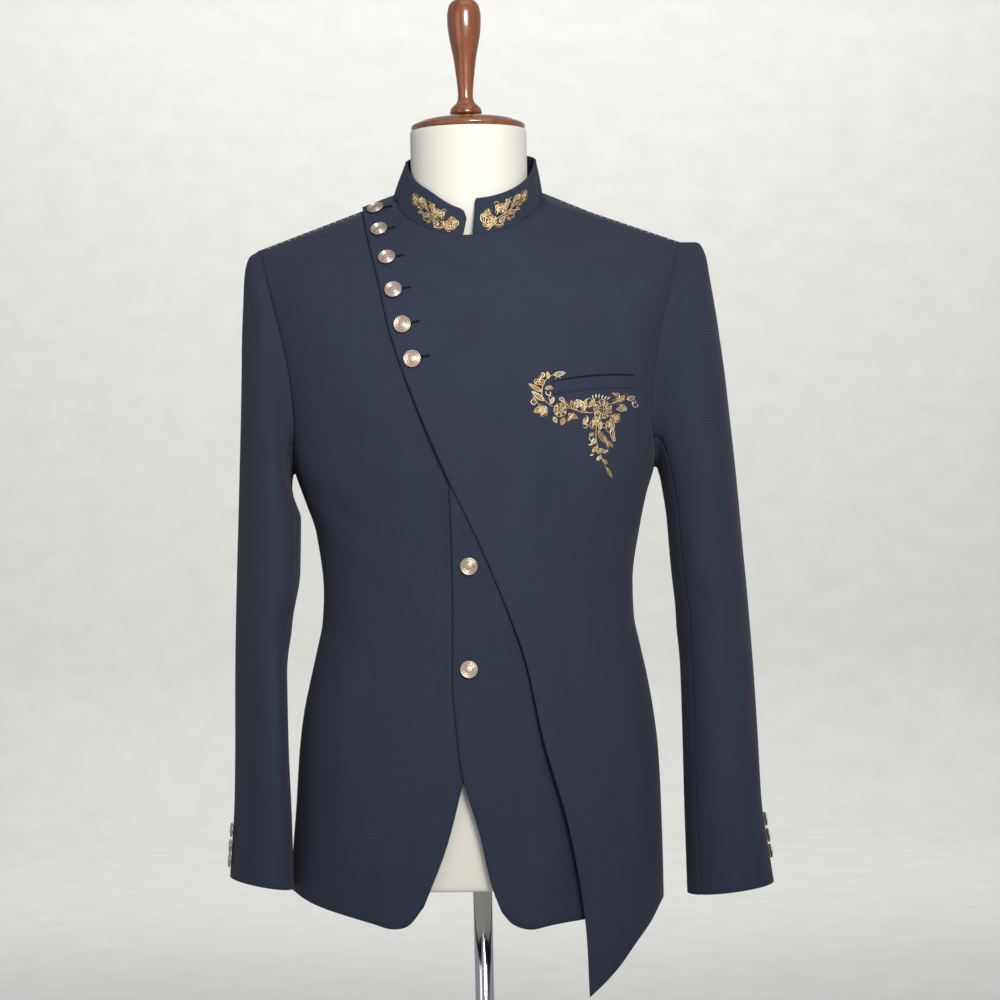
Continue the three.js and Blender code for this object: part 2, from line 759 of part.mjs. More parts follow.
function addCollar() {
  const rise = [0, 0.35, 0.7, 1];
  const outer = [];
  const inner = [];
  const turns = [COLLAR_LEFT_END_TURN];
  for (let turn = NECK_STEP; turn < 360; turn += NECK_STEP) {
    turns.push(turn);
  }
  turns.push(360 - COLLAR_RIGHT_END_TURN);
  for (const share of [...rise].reverse()) {
    const outerRow = [];
    const innerRow = [];
    for (const turn of turns) {
      const outward = new THREE.Vector3(Math.sin(turn * DEGREE), -Math.cos(turn * DEGREE), 0);
      const point = collarFoot(turn).lerp(collarTop(turn), share);
      outerRow.push(point);
      innerRow.push(point.clone().addScaledVector(outward, -COLLAR_THICKNESS));
    }
    outer.push(outerRow);
    inner.push(innerRow);
  }
  add('collar_band', wall(outer, inner), 'suiting');
}

// Welt of the chest pocket, laid on the overlap

function addWelt() {
  const startAcross = 83;
  const startTop = 1248.5;
  const rise = 6;
  const columns = 4;
  const rows = 1;
  const grid = Array.from({ length: rows + 1 }, (_, j) => Array.from({ length: columns + 1 }, (__, i) => {
    const u = i / columns;
    const height = startTop + rise * Math.sin(u * Math.PI * 0.62) - WELT_HEIGHT * (j / rows);
    return flat(startAcross + WELT_LENGTH * u, height);
  }));
  const offset = (place) => overlapOffset(place) + WELT_STAND + CLOTH;
  add('chest_welt', clothPanel(grid, offset), 'suiting');
}

// Buttons

const placketButtons = table(['across', 'height'], [
  [-95.4, 1433],
  [-91.6, 1409],
  [-83.5, 1378],
  [-76.9, 1344],
  [-68.1, 1309],
  [-58.5, 1274],
]);

const frontButtons = table(['across', 'height'], [
  [-6, 1064],
  [-8, 959],
]);

const cuffButtons = table(['label', 'side', 'firstRing', 'ringStep'], [
  ['right', -1, 12.45, 0.46],
  ['left', 1, 12.5, 0.38],
]);
const CUFF_BUTTON_TURN = -8;
const CUFF_BUTTON_COUNT = 3;

// Half outline of a shank button, from the cloth outward, in parts of its radius
function buttonGeometry(radius, segments) {
  const outline = [
    [0, 0],
    [0.25, 0],
    [0.25, 0.16],
    [0.9, 0.2],
    [1, 0.32],
    [0.93, 0.44],
    [0.8, 0.38],
    [0.35, 0.4],
    [0, 0.5],
  ];
  const points = outline.map(([r, h]) => new THREE.Vector2(r * radius, h * radius));
  const geometry = new THREE.LatheGeometry(points, segments);
  geometry.rotateX(Math.PI / 2);
  return geometry;
}

function placeButton(name, geometry, point, normal) {
  const turn = new THREE.Quaternion().setFromUnitVectors(new THREE.Vector3(0, 0, 1), normal);
  const matrix = new THREE.Matrix4().compose(point, turn, new THREE.Vector3(1, 1, 1));
  add(name, geometry.applyMatrix4(matrix), 'metal');
}

const BUTTON_STAND = 0.4;
const BUTTON_SEARCH = 20;

// Where a line along the normal meets the outer face of a panel
function onPanel(panel, point, normal) {
  const start = point.clone().addScaledVector(normal, BUTTON_SEARCH);
  const line = new THREE.Raycaster(start, normal.clone().negate());
  return line.intersectObject(panel)[0].point;
}

function addPanelButton(name, row, panelName) {
  const place = flat(row.across, row.height);
  const normal = bodyNormal(place.girth, place.height);
  const seat = onPanel(group.getObjectByName(panelName), bodyPoint(place.girth, place.height), normal);
  const geometry = buttonGeometry(BUTTON_DIAMETER / 2, 16);
  placeButton(name, geometry, seat.addScaledVector(normal, BUTTON_STAND), normal);
}

function addButtons() {
  placketButtons.forEach((row, k) => addPanelButton(`button_placket_${k + 1}`, row, 'left_front_overlap'));
  frontButtons.forEach((row, k) => addPanelButton(`button_front_${k + 1}`, row, 'left_under_front'));
  for (const row of cuffButtons) {
    for (let k = 0; k < CUFF_BUTTON_COUNT; k += 1) {
      const ring = row.firstRing + k * row.ringStep;
      const normal = sleeveNormal(row.side, ring, CUFF_BUTTON_TURN);
      const point = sleevePoint(row.side, ring, CUFF_BUTTON_TURN).addScaledVector(normal, BUTTON_STAND);
      const geometry = buttonGeometry(CUFF_BUTTON_DIAMETER / 2, 12);
      placeButton(`button_cuff_${row.label}_${k + 1}`, geometry, point, normal);
    }
  }
}

// Form

const EDGE_DEPTH = 0.3;

// Distance from the upright axis to the form's skin, found by halving
function formRadius(centre, direction, height) {
  const inside = (radius) => {
    const x = centre.x + direction.x * radius;
    const y = centre.y + direction.y * radius;
    if (Math.abs(x) >= halfWidth(formShape, x, height)) {
      return false;
    }
    const front = surfaceDepth(formShape, x, height, false) + EDGE_DEPTH;
    const back = surfaceDepth(formShape, x, height, true) - EDGE_DEPTH;
    return y > front && y < back;
  };
  let low = 0;
  let high = 260;
  for (let k = 0; k < 24; k += 1) {
    const middle = (low + high) / 2;
    if (inside(middle)) {
      low = middle;
    } else {
      high = middle;
    }
  }
  return low;
}

function addForm() {
  const segments = 40;
  const heights = [733, 736, 780, 830, 880, 930, 975, 1020, 1065, 1110, 1160, 1210, 1260, 1300, 1330,
    1352, 1370, 1383, 1393, 1402, 1411, 1420, 1429, 1437, 1444, 1452, 1462, 1475, 1500, 1518];
  const neckPower = 40;
  const bottomRound = 0.985;
  const rings = heights.map((height) => Array.from({ length: segments }, (_, k) => {
    const angle = (k / segments) * 2 * Math.PI;
    const direction = new THREE.Vector2(1.7 * Math.cos(angle), Math.sin(angle)).normalize();
    const neckShare = smoothStep(1380, 1450, height);
    const centre = new THREE.Vector2(FORM_NECK_SHIFT * neckShare, mix(SIDE_Y, NECK_Y, neckShare));
    const torso = formRadius(centre, direction, height);
    const rounded = (torso ** neckPower + FORM_NECK_RADIUS ** neckPower) ** (1 / neckPower);
    const radius = rounded * (height === FORM_BOTTOM ? bottomRound : 1);
    return new THREE.Vector3(centre.x + direction.x * radius, centre.y + direction.y * radius, height);
  }));
  const positions = [];
  for (const ring of rings) {
    for (const point of ring) {
      positions.push(point.x, point.y, point.z);
    }
  }
  const bottom = positions.length / 3;
  positions.push(0, SIDE_Y, heights[0]);
  const top = bottom + 1;
  positions.push(FORM_NECK_SHIFT, NECK_Y, heights[heights.length - 1]);
  const index = [];
  const last = rings.length - 1;
  for (let k = 0; k < segments; k += 1) {
    const next = (k + 1) % segments;
    for (let j = 0; j < last; j += 1) {
      const a = j * segments + k;
      const b = j * segments + next;
      const c = (j + 1) * segments + next;
      const d = (j + 1) * segments + k;
      index.push(a, b, c, a, c, d);
    }
    index.push(bottom, next, k);
    index.push(top, last * segments + k, last * segments + next);
  }
  const geometry = new THREE.BufferGeometry();
  geometry.setAttribute('position', new THREE.Float32BufferAttribute(positions, 3));
  geometry.setIndex(index);
  geometry.computeVertexNormals();
  add('form_torso', geometry, 'ivory');
}

function turned(outline, segments) {
  const points = outline.map(([radius, height]) => new THREE.Vector2(radius, height));
  const geometry = new THREE.LatheGeometry(points, segments);
  geometry.rotateX(Math.PI / 2);
  return geometry;
}

function addWoodAndStand() {
  const capBottom = FORM_NECK_TOP + SEAM;
  const capTop = capBottom + CAP_HEIGHT;
  const cap = turned([
    [0, capBottom],
    [CAP_RADIUS - 2, capBottom],
    [CAP_RADIUS, capBottom + 1.5],
    [CAP_RADIUS - 0.6, capBottom + CAP_EDGE],
    [CAP_RADIUS - 6, capBottom + 8.5],
    [CAP_RADIUS - 18, capBottom + 12],
    [CAP_RADIUS - 34, capBottom + 14.3],
    [12, capTop],
    [0, capTop],
  ], 36);
  cap.translate(FORM_NECK_SHIFT, NECK_Y, 0);
  add('neck_cap', cap, 'lacquer');

  const foot = capTop + SEAM;
  const knob = turned([
    [0, foot],
    [9.4, foot],
    [9.4, foot + 1],
    [16.9, foot + 2.2],
    [16.9, foot + 4.5],
    [15.6, foot + 8],
    [12.6, foot + 11.2],
    [8.7, foot + 16],
    [8, foot + 25],
    [10, foot + 45],
    [12.8, foot + 65],
    [16.4, foot + 84],
    [17.8, foot + 102],
    [16.6, foot + 113],
    [10.5, foot + 121],
    [7.5, foot + 122.5],
    [6.6, foot + 126],
    [0, foot + 128],
  ], 24);
  knob.translate(FORM_NECK_SHIFT - 2, NECK_Y, 0);
  add('finial', knob, 'lacquer');

  add('stand_base', turned([
    [0, 0],
    [FOOT_RADIUS, 0],
    [FOOT_RADIUS, FOOT_THICKNESS - 2],
    [FOOT_RADIUS - 2, FOOT_THICKNESS],
    [HUB_RADIUS + 12, FOOT_THICKNESS + 5],
    [HUB_RADIUS + 2, FOOT_THICKNESS + 9],
    [HUB_RADIUS, FOOT_THICKNESS + 14],
    [HUB_RADIUS, HUB_TOP - 2],
    [HUB_RADIUS - 2, HUB_TOP],
    [0, HUB_TOP],
  ], 48), 'chrome');

  add('pole', turned([
    [0, HUB_TOP + SEAM],
    [POLE_RADIUS, HUB_TOP + SEAM],
    [POLE_RADIUS, FORM_BOTTOM - SEAM],
    [0, FORM_BOTTOM - SEAM],
  ], 24), 'chrome');
}

addForm();
addWoodAndStand();
addRightFront();
addLeftUnderFront();
addOverlap();
addSidePanel('right_side_panel', -1, RIGHT_SIDE_HEM_HEIGHT);
addSidePanel('left_side_panel', 1, LEFT_SIDE_HEM_HEIGHT);
addBack('right_back', -1);
addBack('left_back', 1);
addCollar();
for (const [label, side] of [['right', -1], ['left', 1]]) {
  addSleevePiece(`${label}_top_sleeve`, side, HIND_SLEEVE_SEAM, FRONT_SLEEVE_SEAM, 10);
  addSleevePiece(`${label}_under_sleeve`, side, FRONT_SLEEVE_SEAM, 360 + HIND_SLEEVE_SEAM, 10);
}
addWelt();
addButtons();

export default group;
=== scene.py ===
# %% [markdown]
# # A bandhgala jacket on a dress form
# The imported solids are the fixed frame. Each visible piece is made again at a finer
# size in the same place: cloth as thin walls with turned edges, metal and wood as
# turned shapes. Sizes are written in millimetres, as a tailor writes them, and every
# mesh is scaled to metres when it is made.

import math

import bpy
import numpy as np
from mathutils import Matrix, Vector


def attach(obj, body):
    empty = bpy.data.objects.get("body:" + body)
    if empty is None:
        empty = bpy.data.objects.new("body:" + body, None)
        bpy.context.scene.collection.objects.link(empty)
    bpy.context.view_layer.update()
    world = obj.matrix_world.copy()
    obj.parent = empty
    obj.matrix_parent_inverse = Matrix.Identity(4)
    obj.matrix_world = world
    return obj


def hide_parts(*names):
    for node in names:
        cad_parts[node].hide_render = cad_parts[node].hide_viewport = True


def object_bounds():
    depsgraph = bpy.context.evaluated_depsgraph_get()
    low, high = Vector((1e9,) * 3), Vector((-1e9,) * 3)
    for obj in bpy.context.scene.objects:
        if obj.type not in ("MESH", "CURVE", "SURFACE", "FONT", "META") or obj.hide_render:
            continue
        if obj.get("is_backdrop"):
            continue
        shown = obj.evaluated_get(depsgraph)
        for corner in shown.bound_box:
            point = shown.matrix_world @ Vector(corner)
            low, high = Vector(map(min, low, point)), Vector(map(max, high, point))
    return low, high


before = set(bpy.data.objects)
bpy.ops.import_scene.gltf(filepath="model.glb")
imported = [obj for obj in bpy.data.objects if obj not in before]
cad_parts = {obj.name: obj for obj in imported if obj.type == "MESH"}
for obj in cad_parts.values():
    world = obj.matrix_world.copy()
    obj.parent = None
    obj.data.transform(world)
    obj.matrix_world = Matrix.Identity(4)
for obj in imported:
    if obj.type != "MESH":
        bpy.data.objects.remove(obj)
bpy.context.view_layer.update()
MM = 0.001
print("solids in the frame:", len(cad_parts))

# %% [markdown]
# ## Reading a tailor's table
# A cut is a short table of widths and depths at a few heights. The value between two
# rows comes from a smooth curve that never swings past the rows, so the waist stays
# where the table puts it. NumPy reads a whole grid of points in one call.

# %% Tables and soft steps


def table(columns, rows):
    return dict(zip(columns.split(), np.array(rows, float).T))


def read(rows, key, column, value):
    xs, ys = rows[key], rows[column]
    step = np.diff(xs)
    secant = np.diff(ys) / step
    before, after = secant[:-1], secant[1:]
    same = before * after > 0
    total = np.where(same, before + after, 1)
    middle = np.where(same, 2 * before * after / total, 0)
    slope = np.concatenate([secant[:1], middle, secant[-1:]])
    value = np.clip(value, xs[0], xs[-1])
    k = np.clip(np.searchsorted(xs, value, side="right") - 1, 0, len(step) - 1)
    t = (value - xs[k]) / step[k]
    rise = ys[k + 1] - ys[k]
    a = slope[k] * step[k] - rise
    b = rise - slope[k + 1] * step[k]
    return ys[k] + t * rise + t * (1 - t) * (a * (1 - t) + b * t)


def smooth(start, end, value):
    t = np.clip((np.asarray(value, float) - start) / (end - start), 0, 1)
    return t * t * (3 - 2 * t)


def mix(a, b, t):
    return a + (b - a) * t


# %% [markdown]
# ## The body of the jacket
# Every horizontal cut through the jacket is a rounded rectangle, wider than deep. Above
# the yoke it leans in to the shoulder line. A point is named by its girth (0 at the
# front centre, 1 and -1 at the sides, 2 and -2 at the back centre) and its height.

# %% Sizes of the body
SIDE_Y = 4
SQUARENESS = 2.35
NECK_HALF = 77
NECK_HEIGHT = 1449
NECK_FRONT_Y, NECK_FRONT_HEIGHT = -70, 1402
NECK_BACK_Y, NECK_BACK_HEIGHT = 64, 1463
SHOULDER_SLOPE = 0.359
SHOULDER_END = 222
GIRTH_LENGTH = 260
RIDGE_GAP = 0.2
YOKE_HEIGHT = 1330
RIDGE_POWER = 0.6
FILLET = 12
CLOTH, OVERLAP_CLOTH = 1.5, 2.0

body_sections = table("height right left front back", [
    [600, 202, 189, 124, 124],
    [735, 200, 190, 124, 124],
    [820, 193, 189, 123, 121],
    [870, 189, 187, 121, 116],
    [908, 184, 183, 118, 110],
    [945, 176, 177, 116, 104],
    [978, 168, 170, 114, 100],
    [1006, 162, 165, 113, 98],
    [1040, 160, 164, 113, 96],
    [1100, 167, 173, 116, 100],
    [1132, 177, 180, 118, 104],
    [1165, 188, 190, 120, 109],
    [1220, 198, 198, 119, 115],
    [1280, 211, 211, 112, 115],
    [1330, 221, 221, 100, 110],
    [1400, 235, 235, 71, 92],
    [1470, 243, 243, 40, 62],
])
form_sections = table("height right left front back", [
    [720, 178, 178, 114, 113],
    [870, 176, 176, 112, 107],
    [945, 165, 165, 107, 96],
    [1006, 152, 152, 102, 90],
    [1040, 150, 152, 102, 88],
    [1100, 158, 163, 105, 93],
    [1165, 175, 177, 109, 104],
    [1220, 178, 178, 109, 111],
    [1280, 186, 186, 103, 111],
    [1330, 198, 198, 92, 104],
    [1385, 212, 212, 71, 89],
    [1400, 216, 216, 64, 83],
    [1470, 226, 226, 36, 53],
])
JACKET = {"sections": body_sections, "drop": 0, "inset": 0}
FORM = {"sections": form_sections, "drop": 2.5, "inset": 6}

# %% The surface of the body


def half_width(shape, across, height):
    right = read(shape["sections"], "height", "right", height)
    left = read(shape["sections"], "height", "left", height)
    return np.where(across < 0, right, left)


def top_edge(across, back, shape=JACKET):
    reach = np.abs(across)
    neck = NECK_HALF - shape["inset"]
    ridge = SIDE_Y + np.where(back, RIDGE_GAP, -RIDGE_GAP)
    slope = NECK_HEIGHT - SHOULDER_SLOPE * (reach - NECK_HALF)
    bulge = np.sqrt(np.clip(1 - (reach / neck) ** 2, 0, 1))
    end_height = np.where(back, NECK_BACK_HEIGHT, NECK_FRONT_HEIGHT)
    end_y = np.where(back, NECK_BACK_Y - shape["inset"], NECK_FRONT_Y + shape["inset"])
    on_shoulder = reach >= neck
    height = np.where(on_shoulder, slope, mix(NECK_HEIGHT, end_height, bulge))
    depth = np.where(on_shoulder, ridge, mix(ridge, end_y, bulge))
    return height - shape["drop"], depth


def surface_depth(shape, across, height, back):
    reach = np.clip(np.abs(across) / half_width(shape, across, height), 0, 1)
    bulge = (1 - reach ** SQUARENESS) ** (1 / SQUARENESS)
    sign = np.where(back, 1, -1)
    front_full = read(shape["sections"], "height", "front", height)
    back_full = read(shape["sections"], "height", "back", height)
    full = np.where(back, back_full, front_full) - sign * SIDE_Y
    section = SIDE_Y + sign * full * bulge
    top, top_y = top_edge(across, back, shape)
    fall = np.clip((top - height) / np.maximum(top - YOKE_HEIGHT, 1), 0, 1)
    rounding = (1 - (1 - fall) ** 2) ** RIDGE_POWER
    yoke = mix(top_y, section, rounding)
    above = mix(top_y, SIDE_Y, np.clip((height - top) / FILLET, 0, 1))
    return np.where(height >= top, above, np.where(height <= YOKE_HEIGHT, section, yoke))


def body_point(girth, height):
    girth, height = np.broadcast_arrays(np.asarray(girth, float), np.asarray(height, float))
    side = np.where(girth < 0, -1, 1)
    back = np.abs(girth) > 1
    quarter = np.where(back, 2 - np.abs(girth), np.abs(girth))
    across = side * half_width(JACKET, girth, height) * np.sin(quarter * math.pi / 2)
    return np.stack([across, surface_depth(JACKET, across, height, back), height], -1)


def girth_at(across, height, back=False):
    across = np.asarray(across, float)
    side = np.where(across < 0, -1, 1)
    reach = np.clip(np.abs(across) / half_width(JACKET, across, height), 0, 1)
    quarter = np.arcsin(reach) / (math.pi / 2)
    return side * np.where(back, 2 - quarter, quarter)


def unit(vectors):
    return vectors / np.maximum(np.linalg.norm(vectors, axis=-1, keepdims=True), 1e-9)


GIRTH_STEP = 0.004
HEIGHT_STEP = 1.5


def body_normal(girth, height):
    here = body_point(girth, height)
    back = np.abs(girth) > 1
    top, _ = top_edge(here[..., 0], back)
    level = np.minimum(height, top - 2 * HEIGHT_STEP)
    along = body_point(girth + GIRTH_STEP, level) - body_point(girth - GIRTH_STEP, level)
    up = body_point(girth, level + HEIGHT_STEP) - body_point(girth, level - HEIGHT_STEP)
    normal = unit(np.cross(along, up))
    ridge = np.stack([np.sign(here[..., 0]) * SHOULDER_SLOPE, 0 * height, 0 * height + 1], -1)
    near = smooth(3, 0.5, top - height) * (np.abs(here[..., 0]) > NECK_HALF - 1)
    return unit(mix(normal, unit(ridge), near[..., None]))


# %% [markdown]
# ## Cutting the pieces
# A piece is bounded by four edges. The inside is filled by blending the edges across
# and down, the way a tailor grades between two sizes, and is then relaxed until its rows
# and columns lie side by side. Edges are lines through a few marked points, resampled by
# their own length.

# %% Edges of the cut
overlap_edge = [
    [-110, 1437.1], [-103.6, 1402], [-98, 1379], [-91, 1349], [-80.5, 1301], [-60, 1240],
    [-24, 1151], [17, 1058], [45, 980], [66, 881], [88, 799], [103, 702], [106, 625],
]
overlap_hem = [[106, 625], [134, 649], [158, 675], [180, 702]]
under_edge = [
    [-23, 1200], [-23, 1111], [-24, 943], [-22, 908], [-16, 850], [-1, 795], [11, 740], [20, 714],
]
under_top = [[-23, 1200], [60, 1222], [150, 1250], [187, 1262]]
under_hem = [[20, 714], [31, 702], [48, 696], [71, 699], [101, 702], [180, 709]]
right_edge = [
    [15, 1402.9], [15, 1020], [12, 950], [0, 900], [-17, 843], [-36, 777], [-59, 720],
]
right_hem = [[-190, 726], [-138, 710], [-111, 703], [-92, 698], [-76, 701], [-59, 720]]

UNDERARM_HEIGHT, ARMHOLE_DEPTH = 1162, 235
FRONT_SEAM_TURN, BACK_SEAM_TURN = 157, 140
FRONT_SEAM_GIRTH, BACK_SEAM_GIRTH = 0.93, 1.155
BACK_HEM, RIGHT_SIDE_HEM, LEFT_SIDE_HEM = 719, 728, 712
SEAM_GIRTH = 0.0009
armhole_girths = table("turn front back", [
    [0, 0.787, 0.787],
    [30, 0.766, 0.757],
    [60, 0.743, 0.725],
    [90, 0.722, 0.7],
    [120, 0.765, 0.745],
    [150, 0.885, 0.87],
    [180, 1, 1],
])

# %% Smooth lines through marked points
POINTS_PER_SPAN = 24


def smooth_line(points, shares):
    """Points at the given shares of the length of a rounded line through the marks."""
    marks = np.array(points, float)
    marks = np.vstack([2 * marks[0] - marks[1], marks, 2 * marks[-1] - marks[-2]])
    spans = []
    for k in range(1, len(marks) - 2):
        p0, p1, p2, p3 = marks[k - 1:k + 3]
        gaps = np.linalg.norm(np.diff([p0, p1, p2, p3], axis=0), axis=1)
        d0, d1, d2 = np.maximum(gaps, 1e-6) ** 0.5
        start = ((p1 - p0) / d0 - (p2 - p0) / (d0 + d1) + (p2 - p1) / d1) * d1
        end = ((p2 - p1) / d1 - (p3 - p1) / (d1 + d2) + (p3 - p2) / d2) * d1
        t = np.linspace(0, 1, POINTS_PER_SPAN, endpoint=False)[:, None]
        spans.append(p1 + start * t + (3 * (p2 - p1) - 2 * start - end) * t ** 2
                     + (2 * (p1 - p2) + start + end) * t ** 3)
    line = np.vstack([*spans, marks[-2:-1]])
    length = np.concatenate([[0], np.cumsum(np.linalg.norm(np.diff(line, axis=0), axis=1))])
    wanted = np.asarray(shares) * length[-1]
    return np.stack([np.interp(wanted, length, line[:, k]) for k in range(line.shape[1])], -1)


def flat(across, height, back=False):
    return np.stack([girth_at(across, height, back), np.broadcast_to(height, np.shape(across))], -1)


def edge_line(points, shares):
    marks = np.array(points, float)
    girths = girth_at(marks[:, 0], marks[:, 1]) * GIRTH_LENGTH
    return smooth_line(np.stack([girths, marks[:, 1]], -1), shares) / [GIRTH_LENGTH, 1]


def shoulder_line(start, end, count, back):
    across = np.linspace(start, end, count + 1)
    return flat(across, top_edge(across, back)[0], back)


def neck_line(start, end, count, back):
    angles = np.linspace(math.asin(start / NECK_HALF), math.asin(end / NECK_HALF), count + 1)
    across = NECK_HALF * np.sin(angles)
    return flat(across, top_edge(across, back)[0], back)


def armhole(side, turn):
    turn = np.asarray(turn, float)
    back = turn > 180
    angle = np.where(back, 360 - turn, turn)
    height = UNDERARM_HEIGHT + ARMHOLE_DEPTH * (1 + np.cos(np.radians(angle))) / 2
    girth = np.where(back, 2 - read(armhole_girths, "turn", "back", angle),
                     read(armhole_girths, "turn", "front", angle))
    return np.stack([side * girth, height], -1)


def straight(start, end, count):
    return mix(np.array(start), np.array(end), np.linspace(0, 1, count + 1)[:, None])


def joined(*lines):
    return np.vstack([lines[0], *(line[1:] for line in lines[1:])])


def falls(line):
    """Share of its whole fall that a side edge has made at each of its points."""
    return (line[0, 1] - line[:, 1]) / (line[0, 1] - line[-1, 1])


RELAX_STEPS = 500


def relaxed(grid):
    """Inner points move, a little at each step, to where no row or column runs over
    its neighbour. The four edges stay."""
    p = grid * (GIRTH_LENGTH, 1)
    for _ in range(RELAX_STEPS):
        across = (p[1:-1, 2:] - p[1:-1, :-2]) / 2
        down = (p[2:, 1:-1] - p[:-2, 1:-1]) / 2
        skew = (p[2:, 2:] - p[2:, :-2] - p[:-2, 2:] + p[:-2, :-2]) / 4
        a = (down * down).sum(-1, keepdims=True)
        b = (across * down).sum(-1, keepdims=True)
        c = (across * across).sum(-1, keepdims=True)
        side = p[1:-1, 2:] + p[1:-1, :-2]
        rise = p[2:, 1:-1] + p[:-2, 1:-1]
        p[1:-1, 1:-1] = (a * side + c * rise - 2 * b * skew) / (2 * (a + c))
    return p / (GIRTH_LENGTH, 1)


def filled(top, bottom, left, right):
    """Rows of points between four edges, then relaxed."""
    left[0], right[0] = top[0], top[-1]
    bottom[0], bottom[-1] = left[-1], right[-1]
    u = np.linspace(0, 1, len(top))[None, :, None]
    v = ((falls(left) + falls(right)) / 2)[:, None, None]
    ruled = mix(top[None], bottom[None], v) + mix(left[:, None], right[:, None], u)
    return relaxed(ruled - mix(mix(top[0], top[-1], u), mix(bottom[0], bottom[-1], u), v))


# %% [markdown]
# ## Soft troughs and ridges
# Suiting this firm falls almost flat. What it shows are a few shallow pulls: from the
# underarms, at the waist and down the back. Each is one row: where it starts and ends,
# how wide it is and how deep. They could come from a cloth simulation, but a pressed
# jacket on a form hardly moves, so they are listed one by one.

# %% Creases of the body
body_creases = [
    # start across, start height, end across, end height, half width, depth, back
    (-176, 1150, -96, 1085, 15, 1.5, False),
    (-168, 1105, -92, 1030, 17, 1.2, False),
    (-160, 1010, -104, 960, 15, 1.0, False),
    (-120, 900, -84, 770, 22, 1.1, False),
    (-60, 1180, -32, 1020, 20, 0.9, False),
    (182, 1150, 118, 1070, 16, 1.5, False),
    (170, 1085, 96, 1015, 17, 1.2, False),
    (168, 1015, 112, 950, 15, 1.0, False),
    (150, 890, 122, 740, 20, 1.3, False),
    (-150, 1380, -122, 1290, 20, 0.9, False),
    (160, 1370, 128, 1290, 20, 0.9, False),
    (-170, 1180, -96, 1075, 18, 1.8, True),
    (172, 1172, 88, 1060, 18, 1.8, True),
    (-150, 1060, -64, 1012, 14, 1.4, True),
    (148, 1048, 58, 1020, 15, 1.3, True),
    (-92, 940, -106, 745, 24, 2.0, True),
    (84, 930, 98, 740, 22, 1.8, True),
    (-60, 1430, 8, 1417, 12, 1.2, True),
    (10, 1414, 66, 1428, 12, 1.1, True),
]
UNEVEN = 0.3
BEND = 0.06
SHOULDER_OF_TROUGH = 0.45


def trough(u, v, start, end, half, depth):
    """Sink of a soft trough at points (u, v), deepest in its middle and uneven along it."""
    start, end = np.array(start, float), np.array(end, float)
    way = end - start
    length = np.linalg.norm(way)
    way = way / length
    along = (u - start[0]) * way[0] + (v - start[1]) * way[1]
    bend = BEND * length * np.sin(np.clip(along / length, 0, 1) * math.pi)
    aside = (v - start[1]) * way[0] - (u - start[0]) * way[1] - bend
    fade = smooth(-0.15, 0.3, along / length) * smooth(1.15, 0.7, along / length)
    swell = 1 + UNEVEN * np.sin(along / half * 1.3 + length)
    ridge = np.exp(-((aside - 1.6 * half) / half) ** 2)
    profile = np.exp(-(aside / half) ** 2) - SHOULDER_OF_TROUGH * ridge
    return depth * fade * swell * profile


def body_sink(girth, height):
    back = np.abs(girth) > 1
    quarter = np.where(back, 2 - np.abs(girth), np.abs(girth))
    u = np.sign(girth) * quarter * GIRTH_LENGTH
    total = np.zeros(np.shape(girth))
    for across0, height0, across1, height1, half, depth, on_back in body_creases:
        marks = []
        for across, level in ((across0, height0), (across1, height1)):
            marks.append((float(girth_at(across, level)) * GIRTH_LENGTH, level))
        total = total + (back == on_back) * trough(u, height, *marks, half, depth)
    side_fade = smooth(0, 0.05, np.abs(np.abs(girth) - 1))
    return total * side_fade


def body_offset(girth, height, offset):
    place = body_point(girth, height)
    depth = offset - body_sink(girth, height)
    return place + body_normal(girth, height) * np.asarray(depth)[..., None]


# %% [markdown]
# ## Shaders as sums
# A finish is a chain of small sums on noise and wave patterns. Socket wraps one output
# of a node, so the sums can be written as plain Python, and Finish makes the other
# nodes. Numbers that are the same all over go on the shader's own sockets.

# %% Sockets and finishes


class Socket:
    """One output of a node; arithmetic on it adds Math nodes."""

    def __init__(self, finish, output):
        self.finish = finish
        self.output = output

    def math(self, operation, *values):
        return self.finish.node("ShaderNodeMath", {"operation": operation}, *values)

    def __add__(self, other):
        return self.math("ADD", self, other)

    def __sub__(self, other):
        return self.math("SUBTRACT", self, other)

    def __mul__(self, other):
        return self.math("MULTIPLY", self, other)

    __radd__ = __add__

    def sine(self):
        return self.math("SINE", self)


